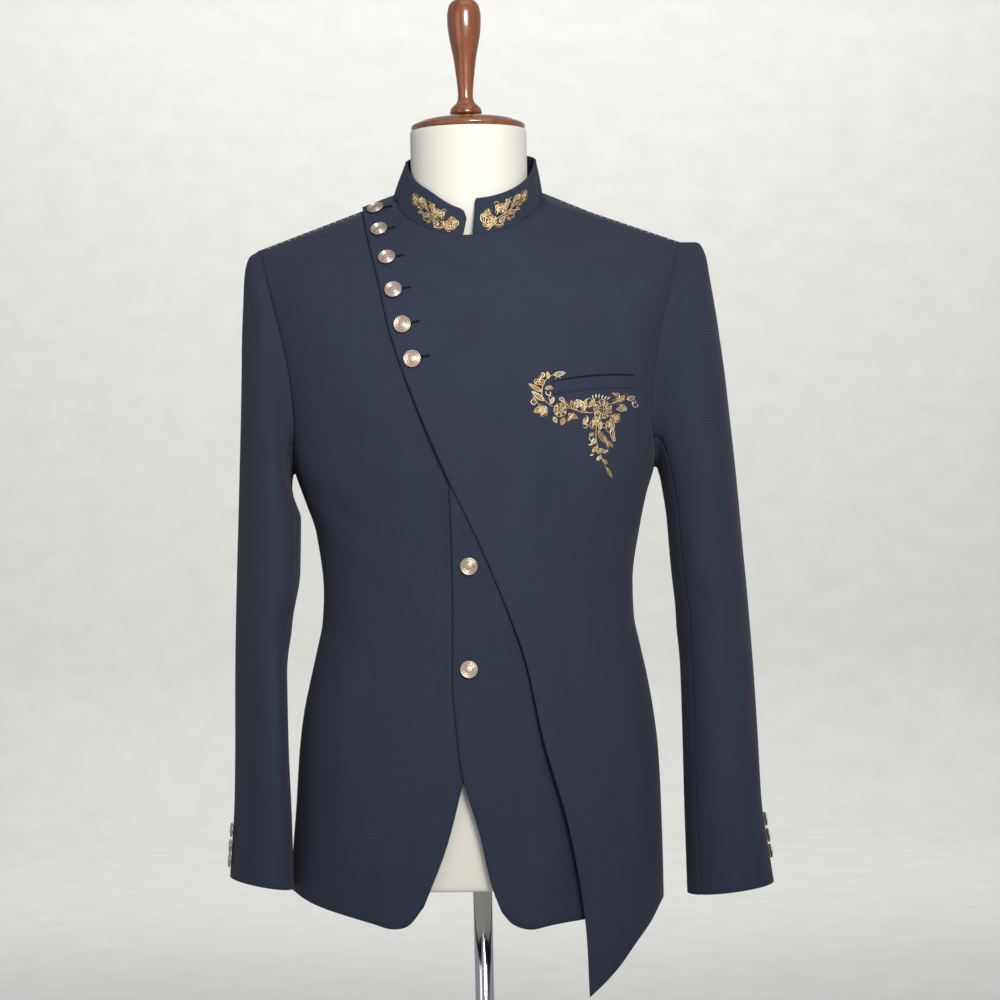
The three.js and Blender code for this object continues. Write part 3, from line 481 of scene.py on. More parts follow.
class Finish:
    """A procedural material, built node by node."""

    def __init__(self, name, **shader):
        self.material = bpy.data.materials.new(name)
        self.material.use_nodes = True
        self.tree = self.material.node_tree
        self.shader = self.tree.nodes["Principled BSDF"]
        for socket, value in shader.items():
            self.shader.inputs[socket.replace("_", " ")].default_value = value

    def node(self, kind, settings, *values, output=0, **named):
        made = self.tree.nodes.new(kind)
        for key, value in settings.items():
            setattr(made, key, value)
        for key, value in [*enumerate(values), *named.items()]:
            socket = made.inputs[key if isinstance(key, int) else key.replace("_", " ")]
            self.feed(socket, value)
        return Socket(self, made.outputs[output])

    def feed(self, socket, value):
        if isinstance(value, Socket):
            self.tree.links.new(value.output, socket)
        elif value is not None:
            socket.default_value = value

    def noise(self, scale, detail, vector=None):
        return self.node("ShaderNodeTexNoise", {}, Vector=vector, Scale=scale, Detail=detail)

    def blend(self, factor, first, second):
        made = self.tree.nodes.new("ShaderNodeMix")
        made.data_type = "RGBA"
        self.feed(made.inputs[0], factor)
        self.feed(made.inputs[6], first)
        self.feed(made.inputs[7], second)
        return Socket(self, made.outputs[2])

    def clamp(self, value):
        return self.node("ShaderNodeClamp", {}, value, 0.0, 1.0)

    def axes(self, source="UV"):
        place = self.node("ShaderNodeTexCoord", {}, output=source)
        split = self.tree.nodes.new("ShaderNodeSeparateXYZ")
        self.tree.links.new(place.output, split.inputs[0])
        return [Socket(self, split.outputs[k]) for k in range(3)]

    def bump(self, height, distance, strength):
        return self.node("ShaderNodeBump", {}, Height=height, Distance=distance, Strength=strength)

    def wear(self, **links):
        for socket, value in links.items():
            self.feed(self.shader.inputs[socket.replace("_", " ")], value)
        return self.material


# %% [markdown]
# ## Suiting
# The cloth is a bird's-eye weave: small raised dots on crossing diagonals, 2.4 mm apart.
# A wave along the warp times a wave along the weft gives dots that line up diagonally.
# Noise breaks their size up, and a fine fibre noise goes over everything.

# %% The woven navy cloth
WEAVE_PITCH = 0.0024


def suiting(name):
    cloth = Finish(name, Roughness=0.85, Sheen_Weight=0.04, Sheen_Roughness=0.5,
                   Specular_IOR_Level=0.14)
    u, v, _ = cloth.axes()
    wander = cloth.noise(260.0, 1.0) * 0.7
    turn = math.sqrt(2) * math.pi / WEAVE_PITCH
    warp = (u * turn + wander).sine()
    weft = (v * turn - wander).sine()
    dots = warp * weft * 0.5 + 0.5
    fibre = cloth.noise(2600.0, 3.0)
    cloud = cloth.noise(9.0, 3.0)
    height = dots + fibre * 0.45
    shade = cloth.clamp(dots * 0.8 + fibre * 0.3 + cloud * 0.2 - 0.2)
    return cloth.wear(
        Base_Color=cloth.blend(shade, (0.0085, 0.0110, 0.0200, 1), (0.0370, 0.0460, 0.0800, 1)),
        Roughness=0.78 + fibre * 0.18,
        Normal=cloth.bump(height, 0.00022, 0.7),
    )


suiting_finish = suiting("suiting")
print("suiting nodes:", len(suiting_finish.node_tree.nodes))

# %% [markdown]
# ## Walls of cloth
# A wall has an outer and an inner face and a rim between them. The rim bulges a little,
# so that the edge looks turned under and pressed instead of sawn off. Two rims meet in
# each seam and close it.

# %% Building a wall


def new_object(name, vertices, faces, uvs=None, material=None):
    mesh = bpy.data.meshes.new(name)
    mesh.from_pydata((np.asarray(vertices) * MM).tolist(), [], faces)
    if uvs is not None:
        layer = mesh.uv_layers.new(name="cloth")
        index = np.empty(len(mesh.loops), np.int64)
        mesh.loops.foreach_get("vertex_index", index)
        layer.data.foreach_set("uv", np.asarray(uvs, float)[index].ravel())
    mesh.polygons.foreach_set("use_smooth", [True] * len(mesh.polygons))
    if material is not None:
        mesh.materials.append(material)
    mesh.validate()
    obj = bpy.data.objects.new(name, mesh)
    bpy.context.scene.collection.objects.link(obj)
    return obj


def rim_middle(outer, inner, bulge):
    """Points halfway between two rims, pushed away from the piece."""
    middle = (outer[0] + inner[0]) / 2
    away = unit(outer[0] - outer[1])
    return middle + away * bulge


def wall(name, outer, inner, uv, material, bulge=0.55):
    rows, columns = outer.shape[:2]
    count = rows * columns
    at = np.arange(count).reshape(rows, columns)
    faces = []

    def quads(grid, flip):
        a, b, c, d = grid[:-1, :-1], grid[1:, :-1], grid[1:, 1:], grid[:-1, 1:]
        order = (a, d, c, b) if flip else (a, b, c, d)
        faces.extend(np.stack([x.ravel() for x in order], -1).tolist())

    quads(at, False)
    quads(at + count, True)
    rim = np.concatenate([at[0, :-1], at[:-1, -1], at[-1, :0:-1], at[:0:-1, 0]])
    sides = [
        rim_middle(outer, inner, bulge)[:-1],
        rim_middle(outer.transpose(1, 0, 2)[::-1], inner.transpose(1, 0, 2)[::-1], bulge)[:-1],
        rim_middle(outer[::-1], inner[::-1], bulge)[:0:-1],
        rim_middle(outer.transpose(1, 0, 2), inner.transpose(1, 0, 2), bulge)[:0:-1],
    ]
    middle = np.vstack(sides)
    ring = 2 * count + np.arange(len(rim))
    ahead = np.roll(np.arange(len(rim)), -1)
    for start, end in ((rim, ring), (ring, rim + count)):
        faces.extend(np.stack([start, start[ahead], end[ahead], end], -1).tolist())
    points = np.vstack([outer.reshape(-1, 3), inner.reshape(-1, 3), middle])
    flat_uv = uv.reshape(-1, 2)
    uvs = np.vstack([flat_uv, flat_uv, flat_uv[rim]])
    return new_object(name, points, faces, uvs, material)


def grid_area(points):
    one = np.cross(points[1:, :-1] - points[:-1, :-1], points[:-1, 1:] - points[:-1, :-1])
    two = np.cross(points[1:, :-1] - points[1:, 1:], points[:-1, 1:] - points[1:, 1:])
    return float((np.linalg.norm(one, axis=-1) + np.linalg.norm(two, axis=-1)).sum() / 2)


def line_length(points):
    return float(np.linalg.norm(np.diff(points, axis=0), axis=-1).sum())


def cut_size(points):
    """Width and length of the flat cut that a wall was made from, and its area."""
    width = max(line_length(row) for row in points)
    length = max(line_length(column) for column in points.transpose(1, 0, 2))
    area = grid_area(points)
    width = max(width, area / length)
    return math.ceil(width) * MM, math.ceil(length) * MM, area * MM * MM


def dress(obj, node):
    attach(obj, "root")
    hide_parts(node)


def declare_sheet(obj, outer):
    width, length, area = cut_size(outer)
    print(f"{obj.name}: cut {width:.3f} by {length:.3f} m, {area:.4f} m2")


def cloth_panel(name, grid, offset, thickness=CLOTH):
    girth, height = grid[..., 0], grid[..., 1]
    lift = offset(girth, height)
    outer = body_offset(girth, height, lift)
    inner = body_offset(girth, height, lift - thickness)
    uv = np.stack([girth * GIRTH_LENGTH, height], -1) * MM
    obj = wall(name + "_cloth", outer, inner, uv, suiting_finish)
    dress(obj, name)
    declare_sheet(obj, outer)


# %% [markdown]
# ## Fronts
# The right front lies next to the form. The inner left front laps over it and takes two
# buttons. The outer left front lies over both, from the right shoulder across to a point
# at the left hem, and its free edge stands a little away from the body.

# %% Layers of the fronts
SECOND_LAYER, THIRD_LAYER = 4, 7.2
UNDER_SINK = 6.3
EDGE_LIFT = 5.5
ROWS, SEAM_ROWS = 44, 80
SEAM_BLEND = 12


def flush(girth, height):
    return 0 * girth


def under_offset(girth, height):
    return mix(SECOND_LAYER, -UNDER_SINK, smooth(0.09, 0.36, girth))


edge_heights = np.array(overlap_edge, float)[::-1]
edge_by_height = {"height": edge_heights[:, 1], "across": edge_heights[:, 0]}


def overlap_offset(girth, height):
    over_under = 1 - smooth(1190, 1290, height)
    front = mix(SECOND_LAYER, THIRD_LAYER, over_under)
    layer = mix(front, 0, smooth(0.13, 0.4, girth))
    edge = girth_at(read(edge_by_height, "height", "across", height), height)
    near_edge = 1 - smooth(0, 0.28, girth - edge)
    low = 1 - smooth(760, 1130, height)
    return layer + EDGE_LIFT * near_edge * low


def front_side(side, start_turn, hem_height, rows):
    turns = mix(start_turn, FRONT_SEAM_TURN, np.linspace(0, 1, rows + 1))
    hole = armhole(side, turns)
    blend = smooth(FRONT_SEAM_TURN - SEAM_BLEND, FRONT_SEAM_TURN, turns)
    hole[:, 0] = mix(hole[:, 0], side * FRONT_SEAM_GIRTH, blend)
    seam = straight(hole[-1], [side * FRONT_SEAM_GIRTH, hem_height], SEAM_ROWS)
    line = joined(hole, seam)
    line[:, 0] -= side * SEAM_GIRTH
    return line


# %% The three fronts
side_line = front_side(-1, 0, RIGHT_SIDE_HEM, ROWS)
top_line = joined(
    shoulder_line(-SHOULDER_END, -NECK_HALF, 26, False), neck_line(-NECK_HALF, right_edge[0][0], 24, False))
cloth_panel("right_front", filled(
    top_line, edge_line(right_hem, np.linspace(0, 1, len(top_line))),
    side_line, edge_line(right_edge, falls(side_line))), flush)

side_line = front_side(1, 102, LEFT_SIDE_HEM, 14)
under_shares = np.linspace(0, 1, 50)
cloth_panel("left_under_front", filled(
    edge_line(under_top, under_shares), edge_line(under_hem, under_shares),
    edge_line(under_edge, falls(side_line)), side_line), under_offset)

side_line = front_side(1, 0, LEFT_SIDE_HEM, ROWS)
top_line = joined(
    shoulder_line(overlap_edge[0][0], -NECK_HALF, 8, False), neck_line(-NECK_HALF, NECK_HALF, 44, False),
    shoulder_line(NECK_HALF, SHOULDER_END, 28, False))
cloth_panel("left_front_overlap", filled(
    top_line, edge_line(overlap_hem, np.linspace(0, 1, len(top_line))),
    edge_line(overlap_edge, falls(side_line)), side_line), overlap_offset, OVERLAP_CLOTH)

# %% [markdown]
# ## Sides and backs
# A side body runs from the underarm to the hem on each side. The two backs meet in a
# centre seam. Nothing of the back shows in the picture, so it is cut plainly.

# %% Side bodies and backs
SIDE_COLUMNS, END_COLUMNS = 24, 4
BACK_CENTRE = 0.12


def side_panel(name, side, hem_height):
    count = np.arange(SIDE_COLUMNS + 1)
    turns = np.linspace(FRONT_SEAM_TURN, 360 - BACK_SEAM_TURN, SIDE_COLUMNS + 1)
    top = armhole(side, turns)
    ends = mix(side * FRONT_SEAM_GIRTH, side * BACK_SEAM_GIRTH, count / SIDE_COLUMNS)
    fix = np.maximum(smooth(END_COLUMNS, 0, count), smooth(SIDE_COLUMNS - END_COLUMNS, SIDE_COLUMNS, count))
    top[:, 0] = mix(top[:, 0], ends, fix)
    front_hem = [side * FRONT_SEAM_GIRTH, hem_height]
    back_hem = [side * BACK_SEAM_GIRTH, BACK_HEM]
    seams = [straight(top[0], front_hem, SEAM_ROWS), straight(top[-1], back_hem, SEAM_ROWS)]
    seams[0][:, 0] += side * SEAM_GIRTH
    seams[1][:, 0] -= side * SEAM_GIRTH
    top[0], top[-1] = seams[0][0], seams[1][0]
    grid = filled(top, straight(seams[0][-1], seams[1][-1], SIDE_COLUMNS), *seams)
    cloth_panel(name, grid if side > 0 else grid[:, ::-1], flush)


def back_panel(name, side):
    turns = np.linspace(360, 360 - BACK_SEAM_TURN, ROWS + 1)
    hole = armhole(side, turns)
    blend = smooth(360 - BACK_SEAM_TURN + SEAM_BLEND, 360 - BACK_SEAM_TURN, turns)
    hole[:, 0] = mix(hole[:, 0], side * BACK_SEAM_GIRTH, blend)
    seam = joined(hole, straight(hole[-1], [side * BACK_SEAM_GIRTH, BACK_HEM], SEAM_ROWS))
    seam[:, 0] += side * SEAM_GIRTH
    centre = side * BACK_CENTRE
    top = joined(neck_line(centre, side * NECK_HALF, 24, True),
                 shoulder_line(side * NECK_HALF, side * SHOULDER_END, 26, True))
    heights = mix(top[0, 1], BACK_HEM, falls(seam))
    middle = flat(np.full(len(heights), centre), heights, True)
    bottom = straight(middle[-1], seam[-1], len(top) - 1)
    grid = filled(top, bottom, middle, seam)
    cloth_panel(name, grid if side < 0 else grid[:, ::-1], flush)


side_panel("right_side_panel", -1, RIGHT_SIDE_HEM)
side_panel("left_side_panel", 1, LEFT_SIDE_HEM)
back_panel("right_back", -1)
back_panel("left_back", 1)

# %% [markdown]
# ## Sleeves
# A tailored sleeve is two pieces. The top sleeve covers the front and the outer side, the
# under sleeve the back and the side next to the body. Each row of the table is one ring:
# its outer and inner points, its depth, how its front leans to the body, and how much it
# still follows the armhole.

# %% Rings of the sleeves
RING_COLUMNS = "ring outX outZ inX inZ midY halfDepth tuck follow"
left_rings = table(RING_COLUMNS, [
    [0, 222, 1397, 190, 1162, 4, 66, 0, 1],
    [1, 238, 1395.5, 191.5, 1160.5, 4, 67, 0, 0.9],
    [2, 246, 1383, 192.5, 1157, 4, 68, 0, 0.72],
    [3, 251, 1357, 193.5, 1153, 4, 69, 0, 0.55],
    [4, 258, 1310, 194.5, 1148, 4, 69, 0, 0.36],
    [5, 264, 1262, 195.5, 1141, 4, 69, 0, 0.2],
    [6, 269, 1208, 197, 1131, 4, 68, 0, 0.09],
    [7, 274.5, 1145, 199.5, 1112, 4, 67, 0, 0.02],
    [8, 280, 1065, 203, 1058, 3, 66, 0, 0],
    [9, 283.5, 1008, 207.5, 1006, 0, 64, 0, 0],
    [10, 287, 945, 210.5, 945, -4, 61, 0, 0],
    [11, 289.5, 880, 211, 880, -9, 58, 0, 0],
    [12, 291.5, 815, 211, 814, -14, 54, 0, 0],
    [13, 297, 768, 211.5, 763, -17, 51, 0, 0],
    [14, 302.5, 727, 212, 717, -19, 49, 0, 0],
])
right_rings = table(RING_COLUMNS, [
    [0, 222, 1397, 188, 1162, 4, 66, 0, 1],
    [1, 230, 1389, 189, 1160.5, 4, 67, 0, 0.92],
    [2, 234.5, 1373, 189.5, 1157, 4, 68, 0, 0.78],
    [3, 237, 1345, 190, 1152, 4, 69, 1, 0.6],
    [4, 239.5, 1304, 190, 1146, 4, 70, 2, 0.42],
    [5, 241, 1257, 188.5, 1139, 3, 70, 4, 0.25],
    [6, 243, 1204, 185, 1129, 1, 69, 6, 0.12],
    [7, 246, 1142, 180, 1112, -2, 68, 8, 0.03],
    [8, 249.5, 1066, 181, 1060, -8, 66, 10, 0],
    [9, 252, 1008, 190, 1006, -14, 64, 12, 0],
    [10, 254, 945, 195.5, 945, -20, 62, 14, 0],
    [11, 255, 880, 195, 880, -25, 61, 15, 0],
    [12, 257, 812, 193, 812, -30, 60, 16, 0],
    [13, 260, 772, 192.5, 770, -33, 59, 16, 0],
    [14, 262, 743, 192.5, 734, -35, 58, 16, 0],
])
SLEEVE_GAP, SLEEVE_SHIFT = 0.15, 1.7
FRONT_SLEEVE_SEAM, HIND_SLEEVE_SEAM = 138, -28
LAST_RING = 14
SLEEVE_COLUMNS, SLEEVE_ROWS = 44, 110
SLEEVE_GIRTH_RADIUS, SLEEVE_TOP, RING_PITCH = 60, 1400, 48
HEAD_ROLL = 2.2

# %% Points of a sleeve


def ring_oval(ring, turn):
    cos, sin = np.cos(np.radians(turn)), np.sin(np.radians(turn))
    half_x = (ring["outX"] - ring["inX"]) / 2
    half_z = (ring["outZ"] - ring["inZ"]) / 2
    narrow = np.sqrt(1 - (ring["tuck"] / np.hypot(half_x, half_z)) ** 2)
    return np.stack([
        (ring["outX"] + ring["inX"]) / 2 + half_x * narrow * cos - ring["tuck"] * sin,
        ring["midY"] - ring["halfDepth"] * sin,
        (ring["outZ"] + ring["inZ"]) / 2 + half_z * cos,
    ], -1)


def sleeve_ring(rings, position):
    return {key: read(rings, "ring", key, position) for key in RING_COLUMNS.split()[1:]}


def sleeve_point(side, position, turn):
    rings = left_rings if side > 0 else right_rings
    ring = sleeve_ring(rings, position)
    place = armhole(side, np.mod(turn, 360))
    hole = body_point(place[..., 0], place[..., 1]) * [side, 1, 1]
    away = hole - ring_oval(sleeve_ring(rings, np.zeros_like(position)), turn)
    point = ring_oval(ring, turn) + away * ring["follow"][..., None]
    point[..., 0] += mix(SLEEVE_GAP, SLEEVE_SHIFT, smooth(0, 1, position))
    return point * [side, 1, 1]


def sleeve_normal(side, position, turn):
    low, high = np.clip(position - 0.1, 0, LAST_RING), np.clip(position + 0.1, 0, LAST_RING)
    down = sleeve_point(side, high, turn) - sleeve_point(side, low, turn)
    around = sleeve_point(side, position, turn + 2) - sleeve_point(side, position, turn - 2)
    return unit(np.cross(around, down) * side)


# %% Creases of the sleeves
sleeve_creases = [
    # start turn, start ring, end turn, end ring, half width in degrees, depth
    (150, 8.6, 60, 9.5, 11, 2.4),
    (165, 9.5, 92, 9.0, 10, 2.0),
    (200, 8.9, 262, 9.8, 12, 2.2),
    (128, 6.7, 72, 8.1, 14, 1.6),
    (108, 10.6, 48, 12.4, 13, 1.3),
    (225, 6.5, 290, 8.0, 13, 1.8),
    (40, 1.3, 62, 3.4, 12, 1.2),
    (318, 1.4, 298, 3.6, 12, 1.3),
    (240, 11.0, 306, 12.6, 13, 1.4),
    (20, 4.2, 8, 8.5, 15, 0.9),
]
DEGREES_PER_RING = 60
SEAM_TURN = 0.15


def sleeve_sink(side, position, turn):
    shift = 0.25 if side > 0 else -0.15
    turn, position = np.broadcast_arrays(turn, position)
    v = (position + shift) * DEGREES_PER_RING
    total = np.zeros(turn.shape)
    wrapped = np.mod(turn, 360)
    for turn0, ring0, turn1, ring1, half, depth in sleeve_creases:
        start = (turn0, ring0 * DEGREES_PER_RING)
        end = (turn1, ring1 * DEGREES_PER_RING)
        total = total + trough(wrapped, v, start, end, half * 1.4, depth)
    return total * smooth(0, 0.8, position)


def sleeve_piece(name, side, start_turn, end_turn):
    down = LAST_RING * np.linspace(0, 1, SLEEVE_ROWS + 1) ** 0.9
    around = np.linspace(start_turn + SEAM_TURN, end_turn - SEAM_TURN, SLEEVE_COLUMNS + 1)
    turn, position = np.meshgrid(around, down)
    normal = sleeve_normal(side, position, turn)
    head = HEAD_ROLL * smooth(0, 0.9, position) * smooth(3.2, 1.2, position)
    roll = head * smooth(110, 40, np.abs(np.mod(turn + 180, 360) - 180))
    sink = sleeve_sink(side, position, turn) - 0.35 * roll
    outer = sleeve_point(side, position, turn) - normal * sink[..., None]
    inner = outer - normal * CLOTH
    uv = np.stack([np.radians(turn) * SLEEVE_GIRTH_RADIUS, SLEEVE_TOP - position * RING_PITCH], -1) * MM
    if side > 0:
        outer, inner, uv = outer[:, ::-1], inner[:, ::-1], uv[:, ::-1]
    obj = wall(name + "_cloth", outer, inner, uv, suiting_finish)
    dress(obj, name)
    declare_sheet(obj, outer)


for label, side in (("right", -1), ("left", 1)):
    sleeve_piece(f"{label}_top_sleeve", side, HIND_SLEEVE_SEAM, FRONT_SLEEVE_SEAM)
    sleeve_piece(f"{label}_under_sleeve", side, FRONT_SLEEVE_SEAM, 360 + HIND_SLEEVE_SEAM)

# %% [markdown]
# ## Stand collar
# The collar is a stiff double band. It stands on the neck edge and leaves a narrow gap in
# front. Its right end is cut lower with a rounded corner, its left end has a sharp one.

# %% Sizes and points of the collar
COLLAR_THICKNESS = 2.4
COLLAR_HEIGHT = 38
COLLAR_STAND = 0.2
COLLAR_TOP_SHIFT, COLLAR_TOP_HALF = 3.5, 68.5
COLLAR_TOP_FRONT_Y, COLLAR_TOP_BACK_Y = -68, 65
COLLAR_END_TURN = 4.5
COLLAR_RIGHT_END_HEIGHT, RIGHT_END_SPAN = 27, 40.5
CORNER_TURN, CORNER_DROP = 7, 8
COLLAR_RADIUS, COLLAR_CLOTH_RADIUS = 74, 72
COLLAR_PUFF = 0.5
FOOT_TRIM = 0.99999


def collar_foot(turn):
    sin, cos = np.sin(np.radians(turn)), np.cos(np.radians(turn))
    back = cos < 0
    across = NECK_HALF * sin * FOOT_TRIM
    height, depth = top_edge(across, back)
    girth = girth_at(across, height, back)
    lift = np.where(back, 0, overlap_offset(girth, height))
    foot = np.stack([across, depth, height], -1) + body_normal(girth, height) * lift[..., None]
    foot[..., 2] += COLLAR_STAND
    return foot, height


def collar_top(turn):
    sin, cos = np.sin(np.radians(turn)), np.cos(np.radians(turn))
    reach = np.where(cos < 0, COLLAR_TOP_BACK_Y - SIDE_Y, SIDE_Y - COLLAR_TOP_FRONT_Y)
    _, seam = collar_foot(turn)
    from_right = 360 - COLLAR_END_TURN - turn
    low = (COLLAR_HEIGHT - COLLAR_RIGHT_END_HEIGHT) * smooth(RIGHT_END_SPAN, 0, from_right)
    corner = np.clip(1 - from_right / CORNER_TURN, 0, 1)
    low = low + CORNER_DROP * (1 - np.sqrt(1 - corner ** 2))
    return np.stack([
        COLLAR_TOP_SHIFT + COLLAR_TOP_HALF * sin, SIDE_Y - reach * cos, seam + COLLAR_HEIGHT - low,
    ], -1)


def collar_point(turn, share, lift=0.0):
    turn, share, lift = np.broadcast_arrays(*(np.asarray(x, float) for x in (turn, share, lift)))
    foot, _ = collar_foot(turn)
    outward = np.stack([np.sin(np.radians(turn)), -np.cos(np.radians(turn)), 0 * turn], -1)
    puff = COLLAR_PUFF * np.sin(np.clip(share, 0, 1) * math.pi)
    return mix(foot, collar_top(turn), share[..., None]) + outward * (puff + lift)[..., None]


# %% The collar band
collar_turns = np.linspace(COLLAR_END_TURN, 360 - COLLAR_END_TURN, 181)
collar_rises = np.linspace(1, 0, 17)[:, None]
collar_outer = collar_point(collar_turns[None], collar_rises)
collar_inner = collar_point(collar_turns[None], collar_rises, -COLLAR_THICKNESS)
collar_length = np.radians(collar_turns)[None] * COLLAR_CLOTH_RADIUS
collar_uv = np.stack(np.broadcast_arrays(collar_length, collar_rises * COLLAR_HEIGHT), -1) * MM
collar = wall("collar_band_cloth", collar_outer, collar_inner, collar_uv, suiting_finish, 1.0)
dress(collar, "collar_band")
declare_sheet(collar, collar_outer)

# %% [markdown]
# ## Chest welt
# The welt is a folded strip that stands at the mouth of the pocket. Its top edge is the
# fold. The dark line of the pocket above it is painted shade: a near-black strand, laid
# with the sewing thread further on.

# %% The welt and the mouth of the pocket
WELT_LENGTH, WELT_HEIGHT = 83, 12.5
WELT_START, WELT_TOP, WELT_RISE, WELT_BEND = 83, 1248.5, 6, 0.62


def welt_top(u):
    return WELT_TOP + WELT_RISE * np.sin(u * math.pi * WELT_BEND)


# The strip's weave is cut a little off the weave of the front behind it.
WELT_WEAVE_STRETCH = 1.002
u_grid, v_grid = np.meshgrid(np.linspace(0, 1, 41), np.linspace(0, 1, 9))
welt_height = welt_top(u_grid) - WELT_HEIGHT * v_grid
welt_girth = girth_at(WELT_START + WELT_LENGTH * u_grid, welt_height)
welt_base = overlap_offset(welt_girth, welt_height)
welt_lift = welt_base + 0.9 + 0.7 * (1 - v_grid) + 0.3 * np.sin(v_grid * math.pi)
welt_outer = body_offset(welt_girth, welt_height, welt_lift)
welt_inner = body_offset(welt_girth, welt_height, welt_base + 0.05)
welt_uv = np.stack([welt_girth * GIRTH_LENGTH, welt_height * WELT_WEAVE_STRETCH], -1) * MM
welt = wall("chest_welt_cloth", welt_outer, welt_inner, welt_uv, suiting_finish, 0.25)
dress(welt, "chest_welt")
declare_sheet(welt, welt_outer)

# %% [markdown]
# ## Thread, cord and metal coil
# Sewing and embroidery are all one shape: a round strand that follows a line on the
# cloth. A strand of metal coil has fine ribs and tapers to its ends. One function lays
# strands of any kind on any surface and gathers them in one mesh.

# %% Strands on a surface


def on_overlap(u, v, lift):
    girth = girth_at(u, v)
    return body_offset(girth, v, overlap_offset(girth, v) + lift)


def on_collar(u, v, lift):
    """u is the length along the collar from the front, positive to the wearer's left."""
    turn = np.mod(np.degrees(u / COLLAR_RADIUS), 360)
    return collar_point(turn, v / COLLAR_HEIGHT, lift)


STRAND_SIDES, STRAND_STEP, STRAND_FLATNESS = 6, 0.7, 0.85


class Strands:
    """Gathers strands into one mesh; each strand may have its own finish."""

    def __init__(self, surface):
        self.surface = surface
        self.points, self.faces, self.tones = [], [], []
        self.count = 0

    def lay(self, line, radius, tone=0, lift=0.5, rib=0.0, taper=0.35):
        line = np.array(line, float)
        length = line_length(line)
        samples = max(5, int(length / STRAND_STEP))
        shares = np.linspace(0, 1, samples)
        straight_line = mix(line[0], line[1], shares[:, None])
        flat_line = smooth_line(line, shares) if len(line) > 2 else straight_line
        middle = self.surface(flat_line[:, 0], flat_line[:, 1], lift * radius)
        above = self.surface(flat_line[:, 0], flat_line[:, 1], lift * radius + 1.0)
        up = unit(above - middle)
        along = unit(np.gradient(middle, axis=0))
        across = unit(np.cross(along, up))
        size = radius * (taper + (1 - taper) * np.sqrt(np.clip(np.sin(shares * math.pi), 0, 1)))
        size = size * (1 - rib * (np.arange(samples) % 2))
        angle = np.linspace(0, 2 * math.pi, STRAND_SIDES, endpoint=False)
        ring = (across[:, None] * np.cos(angle)[None, :, None]
                + up[:, None] * np.sin(angle)[None, :, None] * STRAND_FLATNESS)
        tube = middle[:, None] + ring * size[:, None, None]
        at = self.count + np.arange(samples * STRAND_SIDES).reshape(samples, STRAND_SIDES)
        nxt = np.roll(at, -1, axis=1)
        quads = np.stack([at[:-1], at[1:], nxt[1:], nxt[:-1]], -1).reshape(-1, 4).tolist()
        caps = [at[0].tolist(), at[-1][::-1].tolist()]
        self.points.append(tube.reshape(-1, 3))
        self.faces += quads + caps
        self.tones += [tone] * (len(quads) + 2)
        self.count += samples * STRAND_SIDES

    def make(self, name, materials):
        obj = new_object(name, np.vstack(self.points), self.faces)
        for material in materials:
            obj.data.materials.append(material)
        obj.data.polygons.foreach_set("material_index", self.tones)
        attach(obj, "root")
        print(name, "triangles:", sum(len(f) - 2 for f in self.faces))


# %% [markdown]
# ## Gold embroidery
# The flowers and leaves on the chest and collar are worked in metal coil, in three tones:
# bright gold, old gold and pale. They are ordinary garden motifs of petals, leaves and
# curls, drawn here from a few shapes by rule, on the places where the jacket has them.

# %% Metals of the coil


def coil_metal(name, low, high, rough):
    metal = Finish(name, Metallic=0.75, Roughness=rough, Specular_IOR_Level=0.6)
    grain = metal.noise(1400.0, 2.0)
    patch = metal.noise(240.0, 2.0)
    tone = metal.clamp(grain * 0.9 + patch * 1.3 - 0.6)
    return metal.wear(
        Base_Color=metal.blend(tone, (*low, 1), (*high, 1)),
        Roughness=rough - 0.1 + grain * 0.25,
        Normal=metal.bump(grain, 0.0002, 0.6),
    )


gold_tones = [
    coil_metal("bright_gold_coil", (0.28, 0.15, 0.05), (0.88, 0.66, 0.33), 0.36),
    coil_metal("old_gold_coil", (0.09, 0.035, 0.012), (0.52, 0.28, 0.11), 0.42),
    coil_metal("pale_coil", (0.52, 0.42, 0.25), (1.0, 0.93, 0.72), 0.34),
]
BRIGHT, OLD, PALE = range(3)

# %% Motif shapes
shuffle = np.random.default_rng(20)


def turned_by(points, angle, x, y):
    cos, sin = math.cos(math.radians(angle)), math.sin(math.radians(angle))
    return [(x + px * cos - py * sin, y + px * sin + py * cos) for px, py in points]


def leaf(work, x, y, angle, length, width, tone, radius=0.62):
    vein = PALE if tone == OLD else BRIGHT
    middle = [(length * 0.08, 0), (length * 0.9, 0)]
    upper = [(0, 0), (length * 0.35, width * 0.5), (length * 0.75, width * 0.34), (length, 0)]
    lower = [(px, -py) for px, py in upper]
    work.lay(turned_by(upper, angle, x, y), radius, tone, 0.6, 0.25)
    work.lay(turned_by(lower, angle, x, y), radius, tone, 0.6, 0.25)
    work.lay(turned_by(middle, angle, x, y), radius * 1.05, vein, 0.9, 0.25)
    if width > 4:
        for k in (0.3, 0.5, 0.68):
            for turn in (1, -1):
                rib = [(length * k, 0), (length * (k + 0.14), turn * width * 0.3)]
                work.lay(turned_by(rib, angle, x, y), radius * 0.8, OLD, 0.8, 0.25)


def bud(work, x, y, angle, length, tone=PALE, radius=0.9):
    points = [(0, 0), (length * 0.5, length * 0.12), (length, 0)]
    work.lay(turned_by(points, angle, x, y), radius, tone, 0.8, 0.25)


CURL_TURN, CURL_TIGHTNESS, CURL_RADIUS = 4.6, 0.62, 0.6


def curl(work, x, y, angle, size, turn, tone):
    shares = np.linspace(0, 1, 9)
    swing = shares * CURL_TURN
    reach = size * (1 - CURL_TIGHTNESS * shares)
    points = [(size - r * math.cos(a), turn * r * math.sin(a)) for r, a in zip(reach, swing)]
    work.lay(turned_by(points, angle, x, y), CURL_RADIUS, tone, 0.7, 0.25)


